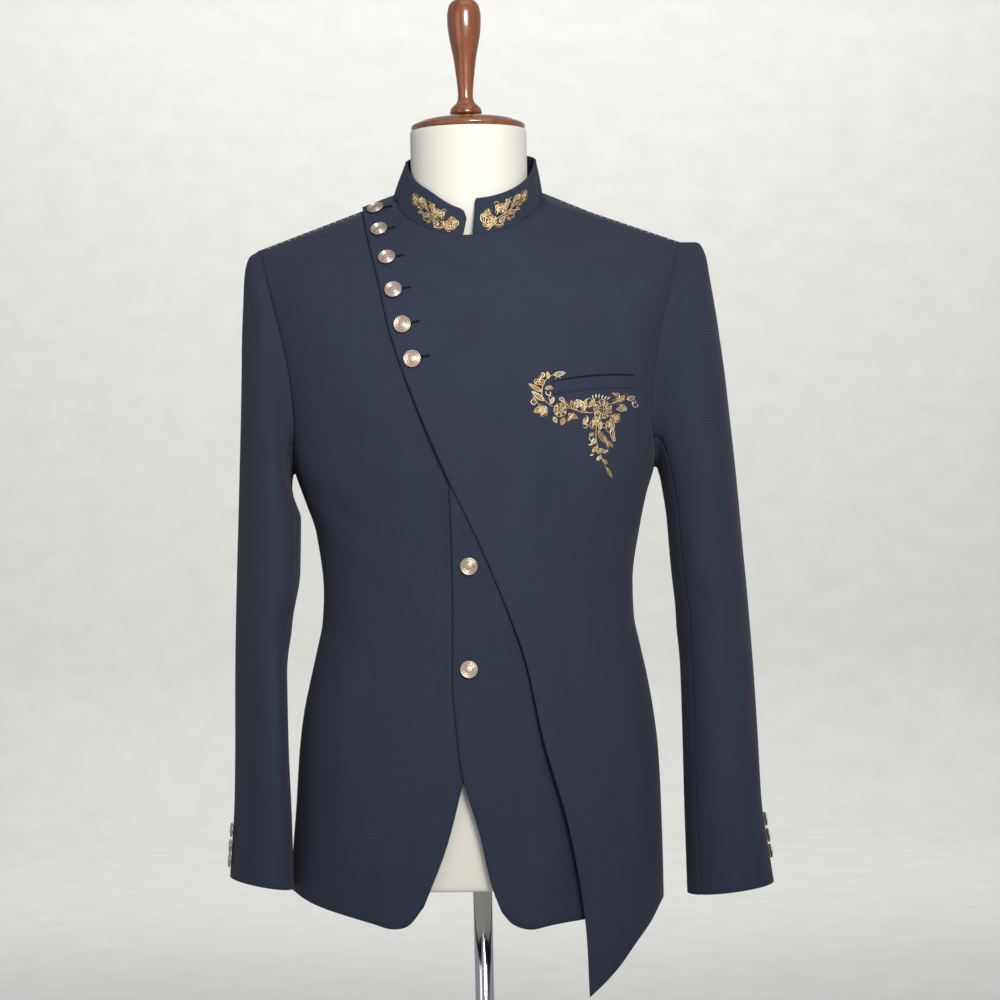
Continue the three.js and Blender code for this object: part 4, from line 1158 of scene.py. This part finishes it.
def flower(work, x, y, radius, petals, tone, inner):
    for k in range(petals):
        angle = 360 * k / petals + shuffle.uniform(-6, 6)
        size = radius * shuffle.uniform(0.92, 1.06)
        width = 2.3 * radius * math.sin(math.pi / petals)
        start = radius * 0.36
        side = [(start, 0), (size * 0.72, width * 0.5), (size, width * 0.22), (size * 1.02, 0)]
        mirror = [(px, -py) for px, py in side]
        work.lay(turned_by(side, angle, x, y), 0.6, tone, 0.8, 0.25)
        work.lay(turned_by(mirror, angle, x, y), 0.6, PALE if k % 2 else tone, 0.8, 0.25)
        work.lay(turned_by([(start, 0), (size * 0.86, 0)], angle, x, y), 0.55, inner, 1.0, 0.25)
    for ring, count, knot in ((0.36, 9, 0.62), (0.17, 5, 0.6), (0.0, 1, 0.8)):
        for k in range(count):
            angle = 360 * k / count
            spot = [(radius * ring, 0), (radius * ring + 0.9, 0.5)]
            work.lay(turned_by(spot, angle, x, y), knot, (PALE, BRIGHT)[k % 2], 1.5, 0.0, taper=0.8)


def stem(work, points):
    work.lay(points, 0.62, BRIGHT, 0.6, 0.25)


# %% Chest motif
chest = Strands(on_overlap)
chest_flowers = [
    # x, y, radius, petals, tone, inner tone
    (133, 1220, 9.6, 11, BRIGHT, OLD), (89, 1220, 6.6, 7, BRIGHT, OLD),
    (126.6, 1208.5, 4.3, 5, BRIGHT, OLD), (147, 1211.5, 4.6, 6, OLD, BRIGHT),
    (71.5, 1220, 4.2, 5, BRIGHT, PALE), (108, 1226.5, 3.8, 5, PALE, OLD),
]
chest_stems = [
    [(124, 1217), (112, 1217.5), (103, 1221), (95, 1222)],
    [(82, 1223), (76, 1227), (71, 1234), (71, 1241), (75, 1250), (83, 1256)],
    [(129, 1211), (126, 1200), (126, 1188), (130, 1174), (136, 1160)],
    [(142, 1226), (152, 1229), (160, 1231)],
]
chest_leaves = [
    # x, y, angle, length, width, tone
    (83, 1255, 12, 13, 4.0, PALE),
    (78, 1251, 97, 8, 3.0, BRIGHT),
    (74, 1246, 150, 9, 5.5, BRIGHT),
    (71, 1238, 148, 16, 3.6, BRIGHT),
    (73, 1229, 142, 16, 4.0, PALE),
    (70, 1222, 208, 9, 5.0, BRIGHT),
    (76, 1220, 218, 10, 6.5, OLD),
    (100, 1222, 142, 15, 4.2, OLD),
    (106, 1219, 118, 12, 5.5, BRIGHT),
    (104, 1217, 228, 12, 4.2, OLD),
    (112, 1218, 70, 14, 4.2, BRIGHT),
    (97, 1216, -24, 12, 4.0, BRIGHT),
    (143, 1226, 24, 14, 6.0, OLD),
    (150, 1228, 46, 9, 4.0, BRIGHT),
    (159, 1230, 20, 9, 4.0, PALE),
    (152, 1225, -46, 9, 3.8, PALE),
    (141, 1214, -30, 10, 6.5, OLD),
    (125, 1210, -112, 11, 7.0, OLD),
    (141, 1211, -74, 12, 4.0, PALE),
    (142, 1202, -84, 14, 4.0, PALE),
    (128, 1199, -62, 15, 4.4, BRIGHT),
    (134, 1194, -72, 15, 4.0, OLD),
    (126, 1190, 222, 8, 3.0, PALE),
    (127, 1183, 230, 9, 3.0, BRIGHT),
    (129, 1180, -34, 8, 3.0, PALE),
    (131, 1173, 222, 7, 2.8, PALE),
    (132, 1169, -40, 7, 2.6, BRIGHT),
    (136, 1161, -62, 12, 2.6, BRIGHT),
    (79, 1226, 60, 8, 3.0, PALE),
    (66, 1226, 120, 9, 4.0, OLD),
    (68, 1249, 60, 9, 4.0, OLD),
    (74, 1241, 20, 8, 3.0, BRIGHT),
    (82, 1213, -62, 7, 3.4, PALE),
    (93, 1212, -112, 8, 4.4, BRIGHT),
    (115, 1221, 120, 10, 3.6, PALE),
    (119, 1222, 55, 11, 3.4, BRIGHT),
    (118, 1212, -128, 9, 4.0, BRIGHT),
    (137, 1208, -52, 9, 4.6, BRIGHT),
    (147, 1220, 5, 12, 4.0, BRIGHT),
    (150, 1233, 150, 8, 3.0, OLD),
    (131, 1208, -98, 9, 3.4, PALE),
    (124, 1196, 205, 6, 3.0, BRIGHT),
    (137, 1188, -48, 9, 3.0, BRIGHT),
    (130, 1176, 160, 5, 2.4, BRIGHT),
]
chest_curls = [
    # x, y, angle, size, way round, tone
    (81, 1229, 100, 3.4, 1, BRIGHT), (85, 1252, -20, 3.2, 1, BRIGHT), (75, 1239, -30, 3.4, -1, PALE),
    (68, 1246, 120, 3.6, 1, BRIGHT), (70, 1253, 60, 3.2, -1, PALE), (65, 1227, 150, 3.6, 1, PALE),
    (118, 1225, 60, 4.2, 1, BRIGHT), (150, 1223, -30, 4.6, 1, PALE), (153, 1232, 30, 4.4, -1, OLD),
    (166, 1229, -60, 4.4, -1, PALE), (114, 1207, -80, 3.6, 1, BRIGHT), (138, 1203, -60, 4.0, -1, BRIGHT),
    (123, 1192, 200, 3.0, 1, PALE), (133, 1180, -20, 3.0, -1, BRIGHT), (141, 1192, -50, 3.6, 1, BRIGHT),
    (92, 1227, 120, 3.6, -1, PALE), (80, 1240, -20, 3.4, 1, BRIGHT), (70, 1246, 170, 3.2, -1, BRIGHT),
    (86, 1252, -50, 3.6, -1, PALE), (118, 1217, 95, 4.0, 1, PALE), (116, 1214, -110, 3.8, 1, PALE),
    (150, 1222, -20, 3.6, -1, PALE), (146, 1231, 60, 4.0, -1, PALE), (132, 1206, -60, 3.4, 1, BRIGHT),
    (124, 1205, 200, 3.0, -1, BRIGHT), (72, 1224, 165, 3.0, 1, BRIGHT), (163, 1228, 10, 3.2, -1, BRIGHT),
]
chest_buds = [(113, 1206, -35), (122, 1185, 190), (123, 1175, 200), (134, 1178, -20), (139, 1206, -90)]
for row in chest_flowers:
    flower(chest, *row)
for line in chest_stems:
    stem(chest, line)
for row in chest_leaves:
    leaf(chest, *row)
for row in chest_curls:
    curl(chest, *row)
for k in range(6):
    # A fan of six buds stands over the large flower.
    bud(chest, 124 + 2.8 * k, 1230.5 + 0.9 * math.sin(k), 100 - 11 * k, 4.5, PALE, 0.75)
for x, y, angle in chest_buds:
    bud(chest, x, y, angle, 4.5)
chest.make("chest_embroidery", gold_tones)

# %% Collar motifs
collar_leaves = [
    # distance along the collar, height on it, angle, length, width, tone
    (15, 11, 105, 13, 5.0, PALE),
    (20, 8, 160, 9, 5.5, BRIGHT),
    (24, 7, -20, 10, 5.5, OLD),
    (23, 15, 150, 12, 5.0, BRIGHT),
    (26, 17, 72, 14, 5.5, OLD),
    (32, 16, -8, 12, 5.5, BRIGHT),
    (35, 19, 82, 12, 5.0, BRIGHT),
    (38, 17, -30, 10, 5.0, PALE),
    (41, 20, 50, 12, 5.0, OLD),
    (46, 22, -24, 9, 4.5, BRIGHT),
    (50, 24, 78, 8, 4.0, PALE),
    (14, 17, 70, 10, 4.0, BRIGHT),
    (17, 6, 20, 9, 4.0, BRIGHT),
    (20, 19, 110, 9, 4.0, OLD),
    (28, 9, 30, 9, 4.5, PALE),
    (30, 20, 120, 11, 4.5, PALE),
    (36, 12, -60, 8, 4.0, OLD),
    (39, 24, 100, 8, 4.0, BRIGHT),
    (45, 24, 60, 9, 4.0, BRIGHT),
    (47, 18, -60, 8, 3.6, OLD),
    (53, 21, -10, 8, 4.0, BRIGHT),
]
collar_curls = [
    # distance along the collar, height on it, angle, size, way round
    (16, 8, -60, 3.4, 1), (29, 11, -40, 3.2, -1), (44, 26, 120, 3.2, 1),
    (40, 13, -70, 3.0, 1), (27, 27, 120, 3.0, -1),
]
collar_buds = [(19, 22, 95), (37, 28, 90), (45, 16, -50), (50, 19, -30), (30, 7, -60)]
COLLAR_NEAR, COLLAR_STRETCH = 12, 1.15
LEAF_SCALE, RIGHT_MOTIF_SHARE = 0.85, 0.93
for name, side in (("left", 1), ("right", -1)):
    def mirrored(u, v, lift, side=side):
        return on_collar((COLLAR_NEAR + (u - COLLAR_NEAR) * COLLAR_STRETCH) * side, v, lift)
    low = 1.0 if side > 0 else RIGHT_MOTIF_SHARE
    work = Strands(mirrored)
    flower(work, 58, 25 * low, 5.4, 6, OLD, BRIGHT)
    flower(work, 32, 23 * low, 4.6, 6, BRIGHT, OLD)
    flower(work, 22, 12 * low, 4.2, 5, BRIGHT, OLD)
    stem(work, [(17, 9), (26, 13), (36, 17), (46, 21), (55, 24)])
    for x, y, angle, length, width, tone in collar_leaves:
        leaf(work, x, y * low, angle, length * LEAF_SCALE, width * LEAF_SCALE, tone, 0.58)
    for x, y, angle, size, turn in collar_curls:
        curl(work, x, y * low, angle, size, turn, BRIGHT)
    for x, y, angle in collar_buds:
        bud(work, x, y * low, angle, 3.6, PALE, 0.75)
    work.make(f"collar_embroidery_{name}", gold_tones)

# %% [markdown]
# ## Buttonholes and pick stitches
# Each button comes through a worked slit. Navy thread rims the slit, and its end shows
# beside the button; a near-black strand down the middle of the slit is painted shade in its
# opening. A near-black strand above the chest welt is painted shade in the pocket mouth.
# Along each shoulder seam runs a row of pale pick stitches.

# %% Sewing thread


def thread_finish(name, low, high):
    thread = Finish(name, Roughness=0.8, Sheen_Weight=0.03, Specular_IOR_Level=0.15)
    ply = thread.noise(1800.0, 2.0)
    return thread.wear(Base_Color=thread.blend(ply, (*low, 1), (*high, 1)),
                       Normal=thread.bump(ply, 0.0001, 0.5))


# Near-black navy thread. It rims the buttonhole slits, and the same finish is used as painted shade in the
# slit openings and along the pocket mouth.
slit_thread_and_painted_shade = thread_finish("slit_thread_and_painted_shade", (0.0015, 0.002, 0.004), (0.005, 0.006, 0.012))
pick_thread = thread_finish("pick_thread", (0.30, 0.28, 0.22), (0.62, 0.57, 0.44))

placket_buttons = [
    (-95.4, 1433), (-91.6, 1409), (-83.5, 1378), (-76.9, 1344), (-68.1, 1309), (-58.5, 1274),
]
SLIT_START, SLIT_END, SLIT_SLOPE = 1, 17, 0.2
LIP, BAR_HALF = 0.9, 1.6
slits = Strands(on_overlap)
for x, y in placket_buttons:
    end_x, end_y = x + SLIT_END, y + (SLIT_END - SLIT_START) * SLIT_SLOPE
    for lip in (-LIP, LIP):
        slits.lay([(x + SLIT_START, y + lip), (end_x, end_y + lip)], 0.55, 0, 0.4, 0.3)
    # The middle strand, laid low between the lips, is painted shade in the open slit.
    slits.lay([(x + SLIT_START, y), (end_x + 0.5, end_y + 0.5 * SLIT_SLOPE)], 0.6, 0, 0.1, 0.0)
    slits.lay([(end_x, end_y + BAR_HALF), (end_x, end_y - BAR_HALF)], 0.6, 0, 0.5, 0.3)
slits.make("buttonhole_slits", [slit_thread_and_painted_shade])
# Painted shade: a near-black strand along the welt's top edge stands for the shade in the pocket mouth.
painted_mouth_shade = Strands(on_overlap)
painted_mouth_shade_line = [(WELT_START + WELT_LENGTH * u, welt_top(u) + 0.9) for u in np.linspace(0, 1, 9)]
painted_mouth_shade.lay(painted_mouth_shade_line, 1.4, 0, 0.6, 0.0, taper=0.5)
# Painted shade: a thin near-black strand down the far end of the welt.
welt_end = WELT_START + WELT_LENGTH + 0.6
painted_mouth_shade.lay([(welt_end, WELT_TOP + 5.2), (welt_end, WELT_TOP - 7.4)], 0.4, 0, 0.2, 0.0)
painted_mouth_shade.make("pocket_mouth_painted_shade", [slit_thread_and_painted_shade])

# %% Pick stitches along the shoulders
PICK_PITCH, PICK_LENGTH, PICK_DROP = 7.0, 2.0, 2.2


def on_shoulder(u, v, lift):
    """u is across; v is how far below the ridge a stitch lies on the front."""
    height = top_edge(u, False)[0] - v
    girth = girth_at(u, height)
    layer = np.where(u > -NECK_HALF, overlap_offset(girth, height), 0)
    return body_offset(girth, height, layer + lift)


picks = Strands(on_shoulder)
for side, start in ((1, 96), (-1, 118)):
    for x in np.arange(start, SHOULDER_END - 6, PICK_PITCH):
        stitch = [(side * x, PICK_DROP), (side * (x + PICK_LENGTH), PICK_DROP)]
        picks.lay(stitch, 0.42, 0, 0.4, 0.0, taper=0.6)
picks.make("pick_stitches", [pick_thread])

# %% [markdown]
# ## Buttons
# The buttons are cast in a pale rose brass, with a rounded rim, engraved rings and a low
# dome. A turned profile gives all of that from one line of points. Tarnish noise varies
# the brass at random between a dark and a pale tone.

# %% Turned shapes


def turned(name, outline, segments, material, place=(0, 0, 0), axis=(0, 0, 1), finer=1):
    """Turns an outline of (radius, height) about an axis. The outline starts and ends on it."""
    line = np.array(outline, float)
    if finer > 1:
        shares = np.linspace(0, 1, len(line) * finer)
        line = smooth_line(line, shares)
        line[0, 0] = line[-1, 0] = 0
    angle = np.linspace(0, 2 * math.pi, segments, endpoint=False)
    body = line[1:-1]
    ring = np.stack([body[:, None, 0] * np.cos(angle), body[:, None, 0] * np.sin(angle),
                     body[:, None, 1] + 0 * angle], -1)
    points = np.vstack([ring.reshape(-1, 3), [[0, 0, line[0, 1]], [0, 0, line[-1, 1]]]])
    at = np.arange(len(body) * segments).reshape(len(body), segments)
    nxt = np.roll(at, -1, axis=1)
    faces = np.stack([at[:-1], nxt[:-1], nxt[1:], at[1:]], -1).reshape(-1, 4).tolist()
    low, high = len(points) - 2, len(points) - 1
    faces += [[low, int(b), int(a)] for a, b in zip(at[0], nxt[0])]
    faces += [[high, int(a), int(b)] for a, b in zip(at[-1], nxt[-1])]
    turn = np.array(Vector((0, 0, 1)).rotation_difference(Vector(axis)).to_matrix())
    return new_object(name, points @ turn.T + place, faces, None, material)


# %% Button metal and shape
button_metal = Finish("rose_brass", Metallic=0.85, Roughness=0.36)
tarnish = button_metal.noise(420.0, 3.0)
scratch = button_metal.noise(3200.0, 1.0)
brass_tone = button_metal.clamp(tarnish * 1.3 - 0.2)
button_metal.wear(
    Base_Color=button_metal.blend(brass_tone, (0.24, 0.17, 0.13, 1), (0.78, 0.66, 0.56, 1)),
    Roughness=0.26 + scratch * 0.2,
    Normal=button_metal.bump(scratch, 0.00004, 0.5),
)
BUTTON_OUTLINE = [
    (0, 0), (2.2, 0), (2.2, 1.3), (8.0, 1.5), (8.7, 1.9), (9.0, 2.6), (8.8, 3.2), (8.3, 3.5),
    (7.8, 3.3), (7.5, 2.6), (7.0, 2.5), (6.7, 3.0), (6.3, 3.05), (6.0, 2.5), (5.5, 2.5),
    (5.2, 3.1), (4.8, 3.15), (4.5, 2.6), (3.9, 2.6), (3.6, 3.1), (3.1, 3.3), (2.2, 3.4),
    (1.1, 3.45), (0, 3.45),
]
BUTTON_DIAMETER, CUFF_DIAMETER = 18, 15


def button(node, point, normal, diameter=BUTTON_DIAMETER):
    scale = diameter / BUTTON_DIAMETER
    outline = [(r * scale, h * scale) for r, h in BUTTON_OUTLINE]
    made = turned(node + "_metal", outline, 48, button_metal.material, point, normal, 2)
    dress(made, node)


SEAT_LIFT = 0.3


def seat(surface, u, v):
    """Point and direction of a button's shank on a surface."""
    point = surface(np.array([u]), np.array([v]), SEAT_LIFT)[0]
    above = surface(np.array([u]), np.array([v]), SEAT_LIFT + 1.0)[0]
    return point, unit(above - point)


for k, (x, y) in enumerate(placket_buttons):
    button(f"button_placket_{k + 1}", *seat(on_overlap, x, y))


def on_under(u, v, lift):
    girth = girth_at(u, v)
    return body_offset(girth, v, under_offset(girth, v) + lift)


front_buttons = [(-6, 1064), (-8, 959)]
for k, (x, y) in enumerate(front_buttons):
    button(f"button_front_{k + 1}", *seat(on_under, x, y))

CUFF_TURN = -8.0
cuff_rows = [
    # side, its sign, ring of the upper button, rings between two buttons
    ("right", -1, 12.45, 0.46),
    ("left", 1, 12.5, 0.38),
]
for label, side, first, step in cuff_rows:
    for k in range(3):
        place = (side, np.array([first + k * step]), np.array([CUFF_TURN]))
        normal = sleeve_normal(*place)[0]
        point = sleeve_point(*place)[0] + normal * (0.4 - sleeve_sink(*place)[0])
        button(f"button_cuff_{label}_{k + 1}", point, normal, CUFF_DIAMETER)

# %% [markdown]
# ## The dress form
# The form is a padded body in a cream cotton jersey, pulled tight and smooth, cut off flat
# at the armholes, hips and neck. Its skin is found by walking out from the middle until
# the body surface is reached, and near the neck it turns into a round column.

# %% Skin of the form
NECK_RADIUS, NECK_SHIFT, NECK_Y, NECK_TOP = 61, 1.5, -2, 1518
FORM_BOTTOM = 733
NECK_POWER = 40
EDGE_DEPTH = 0.3
FORM_REACH = 260.0
HIP_ROUND, TOP_ROUND = 6, 1.5
SEGMENTS = 144


def form_radius(centre_x, centre_y, direction_x, direction_y, height):
    low, high = np.zeros(height.shape), np.full(height.shape, FORM_REACH)
    for _ in range(24):
        middle = (low + high) / 2
        x, y = centre_x + direction_x * middle, centre_y + direction_y * middle
        inside = np.abs(x) < half_width(FORM, x, height)
        inside &= y > surface_depth(FORM, x, height, np.zeros(x.shape, bool)) + EDGE_DEPTH
        inside &= y < surface_depth(FORM, x, height, np.ones(x.shape, bool)) - EDGE_DEPTH
        low, high = np.where(inside, middle, low), np.where(inside, high, middle)
    return low


jersey = Finish("cream_jersey", Roughness=0.9, Sheen_Weight=0.1, Specular_IOR_Level=0.2)
jersey_x, jersey_y, jersey_z = jersey.axes("Object")
knit = (jersey_z * 4200.0).sine() * ((jersey_x + jersey_y) * 3800.0).sine()
jersey_cloud = jersey.noise(7.0, 4.0)
jersey_fibre = jersey.noise(1500.0, 2.0)
jersey.wear(
    Base_Color=jersey.blend(jersey_cloud, (0.60, 0.585, 0.52, 1), (0.67, 0.66, 0.61, 1)),
    Normal=jersey.bump(knit * 0.4 + jersey_fibre, 0.00012, 0.4),
)


def rounded(from_edge, radius):
    """How far a rounded edge draws in at a distance from the edge."""
    rest = radius - min(from_edge, radius)
    return radius - math.sqrt(max(0, radius ** 2 - rest ** 2))


angles = np.linspace(0, 2 * math.pi, SEGMENTS, endpoint=False)
way = unit(np.stack([1.7 * np.cos(angles), np.sin(angles)], -1))
form_heights = np.concatenate([
    [733, 733.3, 734.2, 736, 739], np.linspace(745, 1330, 70), np.linspace(1334, 1470, 56),
    np.linspace(1476, 1516.5, 9), [1517.6, 1518],
])
rings = []
for height in form_heights:
    share = smooth(1380, 1450, height)
    centre_x, centre_y = NECK_SHIFT * share, mix(SIDE_Y, NECK_Y, share)
    level = np.full(SEGMENTS, height)
    torso = form_radius(centre_x, centre_y, way[:, 0], way[:, 1], level)
    radius = (torso ** NECK_POWER + NECK_RADIUS ** NECK_POWER) ** (1 / NECK_POWER)
    radius = radius - rounded(height - FORM_BOTTOM, HIP_ROUND) * 0.8
    radius = radius - rounded(NECK_TOP - height, TOP_ROUND)
    rings.append(np.stack([centre_x + way[:, 0] * radius, centre_y + way[:, 1] * radius, level], -1))
skin = np.array(rings)
at = np.arange(skin.shape[0] * SEGMENTS).reshape(skin.shape[:2])
nxt = np.roll(at, -1, axis=1)
faces = np.stack([at[:-1], nxt[:-1], nxt[1:], at[1:]], -1).reshape(-1, 4).tolist()
faces += [at[0][::-1].tolist(), at[-1].tolist()]
dress_form = new_object("dress_form", skin.reshape(-1, 3), faces, None, jersey.material)
dress(dress_form, "form_torso")

# %% [markdown]
# ## Lacquered wood
# The cap and the knob are turned from one wood and finished in a reddish-brown lacquer.
# Fine grain runs along the knob. A clear coat over it gives the sharp window highlights.

# %% Lacquer, cap and knob
lacquer = Finish("red_brown_lacquer", Roughness=0.3, Coat_Weight=0.9, Coat_Roughness=0.05)
wood_x, wood_y, wood_z = lacquer.axes("Object")
streak = lacquer.node("ShaderNodeCombineXYZ", {}, wood_x * 160.0, wood_y * 160.0, wood_z * 9.0)
grain = lacquer.noise(1.0, 4.0, streak)
pores = lacquer.noise(6.0, 3.0, streak)
lacquer.wear(
    Base_Color=lacquer.blend(lacquer.clamp(grain * 1.6 - 0.3 + pores * 0.2),
                             (0.055, 0.012, 0.004, 1), (0.27, 0.075, 0.018, 1)),
    Roughness=0.22 + pores * 0.16,
    Normal=lacquer.bump(pores, 0.00005, 0.3),
)
CAP_BOTTOM, CAP_HEIGHT = NECK_TOP + 0.3, 15
cap_profile = [
    (0, 0), (57, 0), (59.2, 0.5), (60, 2), (60, 4.2), (59.3, 5.6), (57.6, 6.4), (55.6, 6.9),
    (54, 8.2), (48, 10.6), (38, 12.6), (26, 14.3), (12, CAP_HEIGHT), (0, CAP_HEIGHT),
]
cap = turned("neck_cap_wood", [(r, h + CAP_BOTTOM) for r, h in cap_profile], 120, lacquer.material,
             (NECK_SHIFT, NECK_Y, 0), finer=4)
dress(cap, "neck_cap")
KNOB_FOOT, KNOB_SHIFT = CAP_BOTTOM + CAP_HEIGHT + 0.3, -2
knob_profile = [
    (0, 0), (9.4, 0), (9.5, 0.8), (12, 1.3), (16.2, 1.8), (16.9, 3.0), (16.6, 4.8), (15.8, 7.6),
    (13, 10.8), (10.3, 13.2), (8.7, 16), (8.0, 20), (8.0, 25), (8.8, 35), (10, 45), (11.2, 55), (12.8, 65),
    (14.8, 75), (16.4, 84), (17.5, 93), (17.8, 102), (17.4, 109), (15.6, 116), (12.4, 120), (10, 121.5),
    (8.2, 122.6), (7.5, 124), (7.0, 126), (5, 127.6), (0, 128),
]
knob = turned("finial_wood", [(r, h + KNOB_FOOT) for r, h in knob_profile], 72, lacquer.material,
              (NECK_SHIFT + KNOB_SHIFT, NECK_Y, 0), finer=4)
dress(knob, "finial")

# %% [markdown]
# ## Pole and foot
# The pole is a chromed tube in a heavy round foot. Chrome shows mostly what is round it,
# so its own finish is only a trace of dust and fine scratches.

# %% Chrome, pole and foot
chrome = Finish("chrome_plate", Metallic=1.0, Roughness=0.08)
dust = chrome.noise(60.0, 4.0)
chrome.wear(
    Base_Color=chrome.blend(dust, (0.62, 0.63, 0.65, 1), (0.72, 0.73, 0.75, 1)),
    Roughness=0.05 + dust * 0.1,
    Normal=chrome.bump(chrome.noise(900.0, 2.0), 0.00001, 0.4),
)
HUB_TOP = 46
foot_outline = [
    (0, 0), (163.6, 0), (165, 1.4), (165, 5.6), (164.3, 7.2), (162.6, 8), (90, 10), (40, 12.4),
    (29, 13.6), (22, 16), (18.6, 19), (17, 24), (17, 43.6), (16.4, 45.4), (14.8, 46), (0, 46),
]
foot = turned("stand_foot", foot_outline, 128, chrome.material)
dress(foot, "stand_base")
pole_outline = [
    (0, HUB_TOP + 0.3), (9.6, HUB_TOP + 0.3), (10, HUB_TOP + 0.7), (10, FORM_BOTTOM - 0.7),
    (9.6, FORM_BOTTOM - 0.3), (0, FORM_BOTTOM - 0.3),
]
pole = turned("stand_pole", pole_outline, 64, chrome.material)
dress(pole, "pole")

# %% [markdown]
# ## Floor, light and camera
# A pale floor runs up into a pale wall, which stands far back and has its own light. One
# soft light hangs in front and to the right, so that each free edge of the fronts throws
# a thin shade to the left. A weaker one fills from the left, and a narrow one on the
# chest leaves the hem and cuffs a little darker. The camera looks level at the jacket
# from the front with a long lens.

# %% Floor and wall
plaster = Finish("pale_plaster", Roughness=0.95, Specular_IOR_Level=0.1)
speckle = plaster.noise(90.0, 5.0)
plaster.wear(
    Base_Color=plaster.blend(speckle, (0.76, 0.755, 0.725, 1), (0.88, 0.88, 0.855, 1)),
    Normal=plaster.bump(speckle, 0.002, 0.3),
)
SWEEP_WIDTH, SWEEP_RADIUS, WALL_Y, WALL_TOP, FLOOR_FRONT = 11000, 600, 7600, 6500, -4600
FLOOR_GAP = 0.2
bend = np.linspace(0, math.pi / 2, 17)
sweep = [(FLOOR_FRONT, 0)]
sweep += [(WALL_Y - SWEEP_RADIUS * (1 - math.sin(a)), SWEEP_RADIUS * (1 - math.cos(a))) for a in bend]
sweep += [(WALL_Y, WALL_TOP)]
points = [(x, y, z - FLOOR_GAP) for y, z in sweep for x in (-SWEEP_WIDTH / 2, SWEEP_WIDTH / 2)]
faces = [(2 * k, 2 * k + 1, 2 * k + 3, 2 * k + 2) for k in range(len(sweep) - 1)]
floor = new_object("floor_and_wall", points, faces, None, plaster.material)
floor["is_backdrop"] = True

# %% Lights


def hang(light, power, colour, place, target):
    light.energy = power
    light.color = colour
    obj = bpy.data.objects.new(light.name, light)
    obj.location = place
    obj.rotation_euler = (Vector(target) - Vector(place)).to_track_quat("-Z", "Y").to_euler()
    bpy.context.scene.collection.objects.link(obj)


def soft_light(name, place, target, size, power, colour):
    light = bpy.data.lights.new(name, "AREA")
    light.shape = "RECTANGLE"
    light.size, light.size_y = size
    hang(light, power, colour, place, target)


def narrow_light(name, place, target, spread, power, colour):
    light = bpy.data.lights.new(name, "SPOT")
    light.spot_size, light.spot_blend, light.shadow_soft_size = math.radians(spread), 1.0, 0.35
    hang(light, power, colour, place, target)


soft_light("window_light", (0.7, -2.5, 2.15), (0, 0, 1.3), (1.0, 1.1), 44, (1.0, 0.98, 0.95))
narrow_light("chest_light", (0.5, -2.5, 2.0), (-0.04, 0, 1.3), 32, 185, (1.0, 0.98, 0.95))
soft_light("fill_light", (-2.6, -2.6, 1.7), (0, 0, 1.1), (1.6, 2.2), 12, (0.95, 0.97, 1.0))
soft_light("top_light", (0.2, -0.6, 3.4), (0, 0.1, 1.2), (2.0, 1.6), 8, (1.0, 0.99, 0.97))
soft_light("wall_light", (0, 5.0, 4.2), (0, 7.6, 1.0), (5.0, 1.5), 112, (1.0, 0.99, 0.97))
world = bpy.data.worlds.new("studio")
world.use_nodes = True
sky = world.node_tree.nodes["Background"]
sky.inputs["Color"].default_value = (0.93, 0.95, 1.0, 1)
sky.inputs["Strength"].default_value = 0.34
bpy.context.scene.world = world
bpy.context.scene.view_settings.view_transform = "Standard"

# %% Camera
CAMERA_X, CAMERA_HEIGHT, CAMERA_DISTANCE = 0.0268, 1.130, 3.2
ROLL = math.radians(1.2)
lens = bpy.data.cameras.new("front_camera")
lens.sensor_width = 36
lens.lens = 109.7
camera = bpy.data.objects.new("front_camera", lens)
camera.location = (CAMERA_X, -CAMERA_DISTANCE, CAMERA_HEIGHT)
camera.rotation_euler = (math.pi / 2, ROLL, 0)
bpy.context.scene.collection.objects.link(camera)
bpy.context.scene.camera = camera

# %% Bounds of the visible pieces
low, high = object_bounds()
print("visual box:", [round(x, 4) for x in low], [round(x, 4) for x in high])
